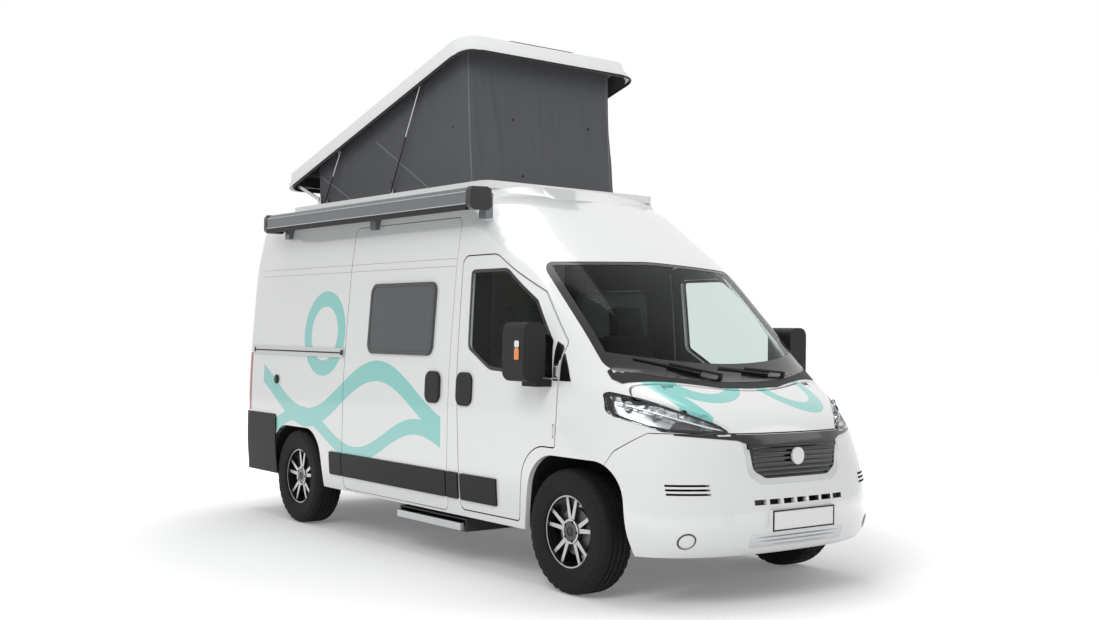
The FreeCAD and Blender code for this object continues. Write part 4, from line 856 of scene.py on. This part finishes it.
@dataclass
class Tent:
    """The tent's cloth: four walls drawn tight between the roof frame and the lid, slightly creased."""

    half: float = 0.699
    base_z: float = 2.5868
    base_y: tuple[float, float] = (-0.205, 2.020)
    top_front: tuple[float, float] = (-0.1236, 3.612)
    top_rear: tuple[float, float] = (2.0445, 2.976)
    corner: float = 0.05
    spacing: float = 0.02
    rows: int = 40
    crease: float = 0.019
    sag: float = 0.012
    keep: float = 0.13

    def outline(self) -> list:
        """Plan points of the base, evenly spaced round its rounded outline."""
        low, high = self.base_y
        points = rounded((-self.half, low), (self.half, high), self.corner, 4)
        return resample([Vector((x, y, 0)) for x, y in points], self.spacing)

    def build(self) -> None:
        """Makes the slightly creased cloth in place of the CAD tent."""
        plan = self.outline()
        low, high = self.base_y
        verts, count = [], len(plan)
        for row in range(self.rows + 1):
            up = row / self.rows
            for i, here in enumerate(plan):
                share = (here.y - low) / (high - low)
                top_y = self.top_front[0] + share * (self.top_rear[0] - self.top_front[0])
                top_z = self.top_front[1] + share * (self.top_rear[1] - self.top_front[1])
                along = (plan[(i + 1) % count] - plan[i - 1]).normalized()
                outward = along.cross(Vector((0, 0, 1)))
                front = max(0.0, -outward.y)
                amount = self.crease * (1.0 if front > 0.5 else 0.35)
                run = i * self.spacing
                lean = run + 0.28 * (1 - up) * noise.noise((run * 1.3, 0.5, 7))
                wave = 1.5 * noise.noise((lean * 9, up * 0.7, 0)) + 0.8 * noise.noise((lean * 21 + up, up * 1.1, 4))
                wave += 0.35 * noise.noise((lean * 45, up * 2.5, 9))
                bow = math.sin(math.pi * up)
                push = bow * amount * wave - self.sag * bow ** 0.7
                y = here.y + up * (top_y - here.y)
                z = self.base_z + up * (top_z - self.base_z)
                verts.append(Vector((here.x, y, z)) + outward * push)
        cloth = mesh_piece("tent_cloth", verts, grid(self.rows + 1, count), CLOTH, 80)
        cloth.data.validate()
        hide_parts("tent")
        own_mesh(cloth)


@dataclass
class RoofTrim:
    """Rubber seal under the lid, and the frame of its skylight."""

    half: float = 0.80
    length: float = 2.77
    drop: float = 0.010

    def place(self, x: float, s: float, h: float) -> Vector:
        """A point of the raised lid, from its own frame (back along it, up from its rim)."""
        turn = LID_TILT
        y = LID_FRONT_Y + s * math.cos(turn) + h * math.sin(turn)
        z = LID_FRONT_Z - s * math.sin(turn) + h * math.cos(turn)
        return Vector((x, y, z))

    def build(self) -> None:
        """Makes the seal and the skylight's frame."""
        plan = rounded((-self.half, 0.018), (self.half, self.length), 0.11, 6)
        seal = Builder().tube([self.place(x, s, -0.004) for x, s in plan], 0.009, 8, True)
        seal.piece("lid_seal", DAMPER, "dark_plastic", 60, "pop_roof")
        inner = rounded((-0.318, 0.132), (0.318, 0.608), 0.05, 6)
        edge = Builder().tube([self.place(x, s, 0.186) for x, s in inner], 0.007, 8, True)
        edge.piece("skylight_frame", BLACK_MATT, "gloss_black", 60, "pop_roof")


# Wheels


@dataclass
class Wheel:
    """One wheel: a treaded tyre in place of the plain one, brake disc, cap and bolts."""

    name: str
    side: Side
    y: float
    steps: int = 216
    radius: float = 0.3715
    groove: float = 0.008
    disc_x: float = 0.872
    cap_x: float = 0.9615

    @property
    def body(self) -> str:
        """The body that turns on the hub."""
        return f"wheel_{self.name}"

    def profile(self, face: float, *points) -> list:
        """A lathe profile from (outward distance from a face in millimetres, radius in metres)."""
        return [(self.side.value * (face + out / 1000), radius) for out, radius in points]

    def around(self, radius: float, angle: float) -> tuple[float, float]:
        """The y and z of a point at a radius and an angle from the top of the wheel."""
        return self.y + radius * math.sin(angle), WHEEL_Z + radius * math.cos(angle)

    def build(self) -> None:
        """Makes the wheel's pieces."""
        self.tyre()
        self.disc()
        self.cap()

    def tyre(self) -> None:
        """A tyre with four grooves, stepped shoulder blocks and rounded side walls."""
        half = 0.1115
        side = [(-0.0885, 0.2140), (-0.1010, 0.2180), (-0.1060, 0.2300), (-0.1075, 0.2340), (-0.1065, 0.2380),
                (-0.1100, 0.2550), (-half, 0.2850), (-0.1105, 0.3100), (-0.1110, 0.3140), (-0.1080, 0.3180),
                (-0.1055, 0.3400), (-0.1005, 0.3550), (-0.0930, 0.3640), (-0.0800, 0.3685)]
        tread = []
        for x in (-0.056, -0.019, 0.019, 0.056):
            rim = self.radius - 0.25 * x * x
            tread += [(x - 0.006, rim), (x - 0.004, rim - self.groove), (x + 0.004, rim - self.groove),
                      (x + 0.006, rim)]
        profile = side + [(-0.068, 0.3702)] + tread + [(0.068, 0.3702)] + [(-x, r) for x, r in reversed(side)]
        centre = Vector((self.side.value * WHEEL_X, self.y, WHEEL_Z))
        verts = []
        for x, r in profile:
            for k in range(self.steps):
                turn = 2 * math.pi * (k + 4 * abs(x) / 0.1) / self.steps
                rad = r
                block = k % 6
                if 0.070 < abs(x) < 0.104 and r > 0.33 and block in (0, 1):
                    rad -= 0.006
                elif 0.024 < abs(x) < 0.052 and r > 0.366 and block == 3:
                    rad -= 0.004
                verts.append(centre + Vector((x, rad * math.sin(turn), rad * math.cos(turn))))
        tyre = mesh_piece(f"tyre_{self.name}_treaded", verts, grid(len(profile), self.steps), RUBBER, 34,
                          self.body)
        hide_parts(f"tyre_{self.name}")

    def disc(self) -> None:
        """The brake disc inside the rim, and its caliper on the axle side."""
        centre = (0.0, self.y, WHEEL_Z)
        disc = Builder().lathe(self.profile(self.disc_x, (0, 0.06), (0, 0.152), (6, 0.152), (6, 0.06)), centre, 64)
        disc.lathe(self.profile(self.disc_x, (4, 0.0705), (24, 0.0705), (24, 0.045)), centre, 48)
        disc.piece(f"brake_disc_{self.name}", STEEL, "steel", 30, self.body)
        grip = Builder()
        toward = 1 if self.name[0] == "f" else -1
        for k in range(7):
            angle = math.radians(62 + 9 * k) * toward
            middle = Vector((self.side.value * self.disc_x, *self.around(0.140, angle)))
            half = Vector((0.021, 0.012, 0.026))
            grip.box(middle - half, middle + half, Matrix.Rotation(-angle, 3, "X"))
        body = {"fl": "steer_l", "fr": "steer_r"}.get(self.name, "vehicle")
        grip.piece(f"brake_caliper_{self.name}", IRON, "iron", 40, body)

    def cap(self) -> None:
        """Plain centre cap, its bright ring and five bolt heads."""
        centre = (0, self.y, WHEEL_Z)
        cap = Builder().lathe(self.profile(self.cap_x, (0, 0.001), (10, 0.001), (9, 0.020), (4, 0.029), (-4, 0.031)),
                              centre, 40)
        cap.piece(f"wheel_cap_{self.name}", BLACK_GLOSS, "rim", 40, self.body)
        ring = Builder().lathe(self.profile(self.cap_x, (-3, 0.0315), (3, 0.0315), (3, 0.0345), (-3, 0.0345)),
                               centre, 40)
        ring.piece(f"wheel_cap_ring_{self.name}", MACHINED, "rim", 30, self.body)
        bolts = Builder()
        for i in range(5):
            bolts.lathe(self.profile(self.cap_x, (-12, 0.001), (-2, 0.001), (-3, 0.0085), (-14, 0.0085)),
                        (0, *self.around(0.052, math.radians(72 * i + 36))), 6)
        bolts.piece(f"wheel_bolts_{self.name}", CHROME, "steel", 20, self.body)


# Front


@dataclass
class Front:
    """Lamps behind their covers, the grille's edge, bumper details and the blank plate."""

    lens_outline: tuple = ((0.455, 0.985), (0.640, 0.991), (0.780, 0.999), (0.850, 1.020), (0.920, 1.060),
                           (0.950, 1.090), (0.946, 1.150), (0.938, 1.200), (0.900, 1.198), (0.866, 1.186),
                           (0.854, 1.154), (0.785, 1.151), (0.755, 1.144), (0.660, 1.101), (0.540, 1.046),
                           (0.490, 1.012))
    housing_outline: tuple = ((0.462, 0.990), (0.800, 1.006), (0.945, 1.082), (0.934, 1.200), (0.884, 1.186),
                              (0.868, 1.134), (0.770, 1.132), (0.720, 1.112), (0.520, 1.030))
    bowl_profile: tuple = ((0.0, 1.0), (-0.012, 0.93), (-0.028, 0.70), (-0.040, 0.32), (-0.042, 0.05))
    housing_depth: tuple = (0.030, 0.075)
    housing_fall: float = 0.035
    edge_width: float = 0.014
    proud: float = 0.0012
    lamp_bowls: tuple = ((0.575, 1.062, 0.040), (0.672, 1.083, 0.044), (0.775, 1.112, 0.046), (0.882, 1.140, 0.030))

    def build(self) -> None:
        """Makes every front detail."""
        for side in Side:
            self.headlamp(side)
            self.bumper_side(side)
        self.grille()
        self.plate()

    def headlamp(self, side: Side) -> None:
        """Bright housing, bowls, a light bar and a dark edge round the cover."""
        sign, tag = side.value, side.word
        skin = Skin("headlamps")
        verts, faces = fill([(sign * x, z) for x, z in self.housing_outline], 0.02)
        depth, missed = [], set()
        for i, (u, v) in enumerate(verts):
            found = skin.front(u, v)
            if found is None:
                missed.add(i)
            under = min(1.0, max(0.0, self.upper_edge(abs(u)) - v) / self.housing_fall)
            behind = self.housing_depth[0] + (self.housing_depth[1] - self.housing_depth[0]) * under
            depth.append(Vector((u * 0.985, found[0].y + behind, v)) if found else Vector((0, 0, v)))
        faces = [face for face in faces if not missed & set(face)]
        mesh_piece(f"lamp_housing_{tag}", depth, faces, REFLECTOR, 60)
        self.lens_edge(sign, tag, skin)
        for i, (x, z, radius) in enumerate(self.lamp_bowls):
            found = skin.front(sign * x, z)
            if found:
                self.bowl(f"{tag}_{i}", found[0] - found[1] * 0.014, Vector((sign * 0.25, -1, 0)).normalized(), radius)
        shares = [k / 12 for k in range(13)]
        bar = skin.line([(sign * (0.50 + 0.42 * t), 1.014 + 0.145 * t ** 1.25) for t in shares], -0.016)
        Builder().tube(bar, 0.006, 8).piece(f"lamp_strip_{tag}", CHROME, "silver", 50)

    @staticmethod
    def upper_edge(reach: float) -> float:
        """The height of the cover's upper edge, at a distance from the van's middle."""
        return 1.034 + 0.45 * (reach - 0.52) if reach < 0.8 else 1.160 + 0.343 * (reach - 0.8)

    def bowl(self, tag: str, start: Vector, aim: Vector, radius: float) -> None:
        """One reflector bowl and the bulb in it."""
        across = aim.cross(Vector((0, 0, 1))).normalized()
        above = across.cross(aim)
        steps = 28
        points = [start + aim * along + (across * math.cos(t) + above * math.sin(t)) * radius * share
                  for along, share in self.bowl_profile for t in turns(steps)]
        bowl = Builder().add(points, grid(len(self.bowl_profile), steps))
        bowl.piece(f"lamp_bowl_{tag}", CHROME, "silver", 50)
        bulb = Builder().tube([start + aim * -0.012, start + aim * -0.036], 0.009, 12)
        bulb.piece(f"lamp_bulb_{tag}", LAMP_CORE, "lamp_clear", 50)

    def lens_edge(self, sign: int, tag: str, skin: Skin) -> None:
        """The dark band round the headlamp's cover."""
        line = resample([Vector((sign * x, z, 0)) for x, z in self.lens_outline], 0.012)
        middle = sum(line, Vector((0, 0, 0))) / len(line)
        verts, count = [], len(line)
        for i, here in enumerate(line):
            along = (line[(i + 1) % count] - line[i - 1]).normalized()
            inward = Vector((-along.y, along.x, 0))
            if inward.dot(middle - here) < 0:
                inward = -inward
            for share in (0.0, 1.0):
                tries = [here + inward * self.edge_width * share]
                tries += [here.lerp(middle, shrink) for shrink in (0.03, 0.06, 0.10, 0.15)]
                spare = (verts or [here])[-2:][0]
                verts.append(next((hit[0] for at in tries if (hit := skin.line([at.xy], self.proud))), spare))
        mesh_piece(f"lamp_edge_{tag}", verts, grid(count, 2, True, False), BLACK_GLOSS, 60)

    def bumper_side(self, side: Side) -> None:
        """Fog lamp cover with its ring, and the right side's towing eye cover."""
        fog, tag = (side.value * 0.770, 0.400), side.word
        bumper = ("front_bumper",)
        patch(f"fog_cover_{tag}", circle(fog, 0.037), FROM_FRONT, PAINT_PLAIN, bumper, 0.004, 0.012, 0.003)
        skin, steps = Skin(*bumper), 36
        ring = [skin.front(u, v) for radius in (0.046, 0.038) for u, v in circle(fog, radius, steps)]
        if all(ring):
            mesh_piece(f"fog_ring_{tag}", [p + n * self.proud for p, n in ring], grid(2, steps), DARK_GREY,
                       60)
        if side is Side.RIGHT:
            patch(f"tow_cover_{tag}", rounded((-0.58, 0.50), (-0.52, 0.56), 0.008), FROM_FRONT, PAINT_PLAIN,
                  bumper, 0.0015, 0.02)

    def grille(self) -> None:
        """The dark lip over the grille, its run under the lamps, the bars and the plain badge."""
        patch("grille_lip", [(-0.44, 0.950), (-0.36, 0.925), (0.36, 0.925), (0.44, 0.950), (0.47, 0.982),
                            (-0.47, 0.982)], FROM_FRONT, BLACK_GLOSS,
              ("grille", "grille_surround", "front_bumper"), 0.003, 0.02)
        for side in Side:
            under = [(side.value * x, z) for x, z in ((0.435, 0.984), (0.435, 0.950), (0.62, 0.966), (0.76, 0.978),
                                                      (0.76, 0.984))]
            patch(f"lamp_sill_{side.word}", under, FROM_FRONT, BLACK_GLOSS,
                  ("front_bumper", "grille_surround", "grille"), 0.003, 0.012)
        skin = Skin("grille")
        bars = Builder()
        for k in range(6):
            z = 0.756 + 0.030 * k
            width = 0.335 + 0.004 * k
            found = [skin.front(-width + 2 * width * i / 14, z) for i in range(15)]
            path = [hit[0] + Vector((0, -0.002, 0)) for hit in found if hit]
            if len(path) > 4:
                bars.tube(path, 0.0032, 6)
        bars.piece("grille_bars", BLACK_GLOSS, "gloss_black", 50)
        badge, back = Builder(), -2.6560
        for face, radius in ((-2.6700, 0.050), (-2.6720, 0.043)):
            badge.plate([(x, back, z) for x, z in circle((0.0, 0.852), radius, 44)], Vector((0, face - back, 0)))
        badge.piece("grille_badge", PLATE_WHITE, "silver", 30)

    def plate(self) -> None:
        """The blank white plate in its black holder."""
        block("front_plate", (-0.258, -2.7195, 0.440), (0.258, -2.7165, 0.548), PLATE_WHITE, "silver")
        edge = Builder()
        for z in (0.4365, 0.5475):
            edge.box((-0.262, -2.7215, z), (0.262, -2.7165, z + 0.008))
        for x in (-0.264, 0.256):
            edge.box((x, -2.7215, 0.4365), (x + 0.008, -2.7165, 0.5555))
        edge.piece("front_plate_holder", BLACK_MATT, "dark_plastic", 30)


# Cab


@dataclass
class Cab:
    """Screen print, cowl, wipers, mirror glass, sails and door details."""

    cowl_outline: tuple = ((0.0, -2.288), (0.25, -2.273), (0.5, -2.187), (0.75, -2.098), (0.84, -2.060),
                           (0.872, -2.000), (0.868, -1.955), (0.84, -1.955), (0.60, -2.070), (0.30, -2.165),
                           (0.0, -2.205))
    wiper_lines: tuple = (("left", (0.43, 1.300), (-0.10, 1.345)), ("right", (-0.16, 1.292), (-0.68, 1.400)))
    mirror_x: float = 1.16

    def build(self) -> None:
        """Makes every cab detail."""
        border("screen_print", "windscreen", (0, -0.7, 0.5), 0.055)
        self.cowl()
        self.wipers()
        for side in Side:
            letter = side.letter
            border(f"door_glass_print_{letter}", f"cab_glass_{letter}", (side.value, 0, 0), 0.022, f"door_{letter}")
            self.sail(side)
            self.mirror(side)

    def cowl(self) -> None:
        """Black cowl between the bonnet and the screen, and the screen's dark lower print."""
        for side in Side:
            points = [(side.value * x, y) for x, y in self.cowl_outline]
            patch(f"cowl_{side.word}", points, FROM_TOP, BLACK_MATT, lift=0.003, step=0.025)
        skin = Skin("windscreen", "body_shell")
        verts, columns = [], 44
        rises = (-0.010, 0.012, 0.034, 0.056, 0.078, 0.100)
        for i in range(columns + 1):
            x = -0.835 + 1.67 * i / columns
            low = 1.272 + 0.075 * (x / 0.85) ** 2
            verts += skin.line([(x, low + rises[0])], 0.004) + skin.line([(x, low + up) for up in rises[1:]], 0.001)
        mesh_piece("screen_low_print", verts, grid(columns + 1, len(rises), False, False), BLACK_GLOSS,
                   60)

    def wipers(self) -> None:
        """Two parked wipers with arms and blades on the screen."""
        skin = Skin("windscreen", "body_shell")
        for tag, pivot, tip in self.wiper_lines:
            for part, radius, lift, first, last in (("arm", 0.008, 0.024, 0.0, 0.62),
                                                    ("blade", 0.006, 0.010, 0.22, 1.0)):
                shares = [first + (last - first) * k / 12 for k in range(13)]
                path = skin.line([Vector(pivot).lerp(Vector(tip), t) for t in shares], lift)
                shape = Builder().tube(path, radius, 8)
                if part == "arm":
                    base = path[0]
                    shape.tube([base + Vector((0, 0.0, -0.03)), base + Vector((0, -0.004, 0.006))], 0.014, 12)
                shape.piece(f"wiper_{part}_{tag}", BLACK_MATT if part == "arm" else DAMPER, "dark_plastic", 50)

    def sail(self, side: Side) -> None:
        """Black corner ahead of the door glass: its part on the door and its part on the body."""
        letter, view = side.letter, ("x", side.value * 1.4)
        patch(f"sail_body_{letter}", [(-1.674, 1.474), (-1.674, 1.262), (-1.795, 1.262), (-1.760, 1.335)], view,
              BLACK_GLOSS, step=0.02)
        patch(f"sail_door_{letter}", [(-1.628, 1.500), (-1.674, 1.474), (-1.760, 1.335), (-1.795, 1.262),
                                      (-1.628, 1.262)], view, BLACK_GLOSS, (f"cab_door_{letter}",),
              step=0.010, body=f"door_{letter}")

    def mirror(self, side: Side) -> None:
        """Mirror glass on the housing's rear face, and the lamp on its outer edge."""
        letter, middle = side.letter, side.value * self.mirror_x
        node, door = (f"door_trim_{letter}",), f"door_{letter}"
        for word, low, high in (("glass", 1.372, 1.585), ("glass_low", 1.285, 1.360)):
            patch(f"mirror_{word}_{letter}", rounded((middle - 0.065, low), (middle + 0.065, high), 0.02),
                  BEHIND_MIRRORS, MIRROR, node, 0.0015, 0.03, body=door)
        for word, low, high, finish, slot in (("lamp", 1.385, 1.455, AMBER, "lamp_red"),
                                              ("lamp_clear", 1.458, 1.500, PLATE_WHITE, "lamp_clear")):
            patch(f"mirror_{word}_{letter}", rounded((-1.60, low), (-1.555, high), 0.012), ("x", side.value * 1.6),
                  finish, node, 0.002, 0.012, 0.002, door)


# Sides


@dataclass
class Sides:
    """Window frames, filler cap, sliding door's handle and rail ends, and the awning's details."""

    window_middle: tuple = (0.1475, 1.635)
    awning_profile: tuple = ((-1.118, 2.352), (-1.124, 2.376), (-1.124, 2.462), (-1.108, 2.488), (-0.985, 2.494),
                             (-0.955, 2.478), (-0.950, 2.366), (-0.975, 2.340), (-1.095, 2.338))
    awning_front: float = -0.826
    awning_rear: float = 2.090

    def build(self) -> None:
        """Makes the side details."""
        for side in Side:
            self.window(side)
        patch("filler_cap", circle((2.047, 1.138), 0.037), FROM_RIGHT, BLACK_MATT, lift=0.006,
              step=0.015, thick=0.005)
        patch("filler_grip", rounded((2.040, 1.112), (2.054, 1.164), 0.006), FROM_RIGHT, DARK_GREY,
              lift=0.011, step=0.02, thick=0.005)
        self.handle()
        self.awning()
        self.rail()

    def window(self, side: Side) -> None:
        """The pane's dark frame."""
        skin, sign = Skin("side_windows"), side.value
        outer = [(y + (self.window_middle[0] - y) * 0.006, z + (self.window_middle[1] - z) * 0.006)
                 for y, z in rounded((-0.290, 1.380), (0.585, 1.890), 0.075, 8)]
        inner = rounded((-0.262, 1.408), (0.557, 1.862), 0.055, 8)
        verts = []
        for y, z in outer + inner:
            found = skin.hit((sign * 1.6, y, z), (-sign, 0, 0))
            verts.append(found[0] + found[1] * 0.003 if found else Vector((sign * 1.02, y, z)))
        mesh_piece(f"window_frame_{side.word}", verts, grid(2, len(inner)), DARK_GREY, 60)

    def awning(self) -> None:
        """Black end caps, the dark lower strip and two bright lines along the awning."""
        ends, front, rear = Builder(), self.awning_front, self.awning_rear
        for y0, y1 in ((front - 0.050, front), (rear, rear + 0.046)):
            ends.plate([(x, y0, z) for x, z in self.awning_profile], Vector((0, y1 - y0, 0)))
        ends.piece("awning_ends", BLACK_GLOSS, "gloss_black", 40)
        block("awning_lead_bar", (-1.1235, front, 2.338), (-1.098, rear, 2.372), BLACK_MATT, "dark_plastic", 40)
        line = Builder().box((-1.1235, front, 2.374), (-1.118, rear, 2.379))
        line.box((-1.1225, front, 2.452), (-1.116, rear, 2.457)).piece("awning_lines", SILVER, "silver", 40)

    def handle(self) -> None:
        """The sliding door's upright oval handle."""
        grip = patch("sliding_door_handle", rounded((-0.410, 1.062), (-0.232, 1.278), 0.06, 8), FROM_RIGHT,
                     BLACK_MATT, ("sliding_door",), 0.001, 0.03, 0.018)
        soft = grip.modifiers.new("soft_edge", "BEVEL")
        soft.width, soft.segments, soft.limit_method = 0.007, 3, "ANGLE"

    def rail(self) -> None:
        """Black end pieces of the sliding door's rail, and a dark strip of painted shade along its slot."""
        # The third strip is painted shade: black laid along the rail's slot, where only shade shows.
        for name, (y0, y1), (z0, z1), lift, step in (("rail_end_0", (0.945, 0.985), (1.338, 1.412), 0.002, 0.02),
                                                     ("rail_end_1", (2.462, 2.500), (1.338, 1.412), 0.002, 0.02),
                                                     ("rail_slot", (0.985, 2.462), (1.369, 1.380), 0.001, 0.05)):
            patch(name, [(y0, z0), (y1, z0), (y1, z1), (y0, z1)], FROM_RIGHT, BLACK_MATT,
                  ("door_rail",), lift, step)


# Rear


@dataclass
class Rear:
    """Door handle, blank plate, lamp details, high brake lamp and the window prints."""

    lamp_fields: tuple = (("amber", 1.215, 1.300, AMBER, "lamp_red"),
                          ("clear", 0.905, 0.980, PLATE_WHITE, "lamp_clear"))

    def build(self) -> None:
        """Makes the rear details."""
        for side in Side:
            letter = side.letter
            border(f"rear_glass_print_{letter}", f"rear_glass_{letter}", (0, 1, 0), 0.028, f"tail_door_{letter}")
            for word, low, high, finish, slot in self.lamp_fields:
                near, far = side.value * 0.885, side.value * 0.985
                patch(f"tail_{word}_{letter}", [(near, low), (far, low), (far, high), (near, high)], FROM_REAR, finish,
                      ("tail_lamps",), 0.001, 0.02)
        grip = Builder().box((-0.105, 2.656, 1.120), (-0.030, 2.668, 1.260))
        grip.box((-0.088, 2.668, 1.140), (-0.048, 2.676, 1.240))
        grip.piece("rear_handle", BLACK_MATT, "dark_plastic", 30, "tail_door_r")
        block("plate_lamp_bar", (0.030, 2.656, 1.190), (0.330, 2.672, 1.228), BLACK_MATT, "dark_plastic",
              body="tail_door_l")
        block("rear_plate", (-0.258, 2.7072, 0.379), (0.258, 2.7100, 0.487), PLATE_WHITE, "silver")
        patch("high_brake_lamp", rounded((-0.13, 2.395), (0.13, 2.425), 0.01), FROM_REAR, RED_LENS,
              lift=0.004, thick=0.003)


# Interior


def cushion(name: str, size: Point, centre: Point, finish: Finish, turn: float = 0.0,
            crown: float = 0.22, channels: int = 0, flat_low: bool = True) -> bpy.types.Object:
    """A crowned, padded form with pulled-in corners and sewn channels.

    Args:
        name: the piece's name.
        size: its three sides in metres.
        centre: its middle in the row frame.
        finish: its cloth.
        turn: how far it leans back about the x axis, in degrees.
        crown: how far its faces bulge, as a share of its thickness.
        channels: how many sewn channels cross its top.
        flat_low: whether its underside is flat.

    Returns:
        The cushion.
    """
    cells = 16
    bm = bmesh.new()
    bmesh.ops.create_cube(bm, size=2.0)
    bmesh.ops.subdivide_edges(bm, edges=bm.edges[:], cuts=cells - 1, use_grid_fill=True)
    half = Vector(size) / 2
    lean = Matrix.Rotation(math.radians(turn), 3, "X")
    for vert in bm.verts:
        p = vert.co.copy()
        length = max(abs(p.x), abs(p.y), abs(p.z), 1e-6)
        soft = Vector([c / (1 + 0.16 * (abs(c) ** 8)) for c in p])
        rim = 1 - 0.07 * (abs(p.x) ** 6) * (abs(p.y) ** 6)
        dome = (1 - p.x ** 4) * (1 - p.y ** 4)
        z = soft.z * rim * (0.86 + crown * dome)
        if flat_low and p.z < 0:
            z = soft.z * 0.98
        if channels and p.z > 0.5:
            z -= 0.10 * max(0.0, math.cos(math.pi * channels * (p.y + 1)) - 0.75) * 4 * dome
        seam = 1 - 0.02 * max(0.0, 1 - abs(p.z) * 6) * (1 if length > 0.98 else 0)
        vert.co = lean @ Vector((soft.x * half.x * seam, soft.y * half.y * seam, z * half.z)) + Vector(centre)
    mesh = bpy.data.meshes.new(name)
    bm.to_mesh(mesh)
    bm.free()
    obj = bpy.data.objects.new(name, mesh)
    bpy.context.scene.collection.objects.link(obj)
    mesh.materials.append(finish.make())
    tidy(obj, 70)
    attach(obj, "vehicle")
    return obj


@dataclass
class Interior:
    """Cab seats, bed cushions, and the dashboard's details."""

    seat_x: float = 0.46

    def build(self) -> None:
        """Makes the soft pieces and the dashboard's details."""
        for side in Side:
            self.seat(side)
        self.bed()
        self.dash()

    def seat(self, side: Side) -> None:
        """One cab seat: squab, back and headrest."""
        x = side.value * self.seat_x
        tag = side.word
        cushion(f"seat_squab_{tag}", (0.50, 0.52, 0.15), (x, -0.985, 0.945), SEAT, -4, 0.25, 4)
        cushion(f"seat_back_{tag}", (0.50, 0.62, 0.14), (x, -0.660, 1.265), SEAT, 76, 0.25, 5)
        cushion(f"seat_head_{tag}", (0.27, 0.19, 0.11), (x, -0.600, 1.655), SEAT, 80, 0.25, 0)

    def bed(self) -> None:
        """Mattress and two pillows on the rear bed."""
        cushion("mattress", (1.72, 1.16, 0.11), (0, 1.895, 0.915), BEDDING, 0, 0.12, 4)
        for side in Side:
            cushion(f"pillow_{side.word}", (0.60, 0.36, 0.12), (side.value * 0.40, 2.24, 1.015), CURTAIN, 0,
                    0.35, 0, False)

    def dash(self) -> None:
        """Instrument hood and a dark blank display."""
        bend = [(x, -1.72, z) for x, z in ((0.33, 1.205), (0.40, 1.225), (0.56, 1.225), (0.63, 1.205))]
        hood = Builder().tube(bend, 0.022, 12)
        hood.piece("instrument_hood", INTERIOR, "interior", 50)
        screen = Builder().box((-0.09, -1.572, 1.060), (0.12, -1.562, 1.185))
        screen.piece("dash_display", SCREEN_OFF, "gloss_black", 30)


def main() -> None:
    """Builds and dresses the whole van."""
    logging.basicConfig(level=logging.INFO, format="%(message)s")
    bpy.context.scene.view_settings.view_transform = "Standard"
    wheels = [Wheel(f"{row}{tag}", side, y) for row, y in (("f", FRONT_AXLE_Y), ("r", REAR_AXLE_Y))
              for tag, side in (("l", Side.LEFT), ("r", Side.RIGHT))]
    for part in (Panels(), Tent(), RoofTrim(), *wheels, Front(), Cab(), Sides(), Rear(), Interior(), Studio()):
        part.build()
        LOG.info("built %s", type(part).__name__)


if __name__ == "__main__":
    main()
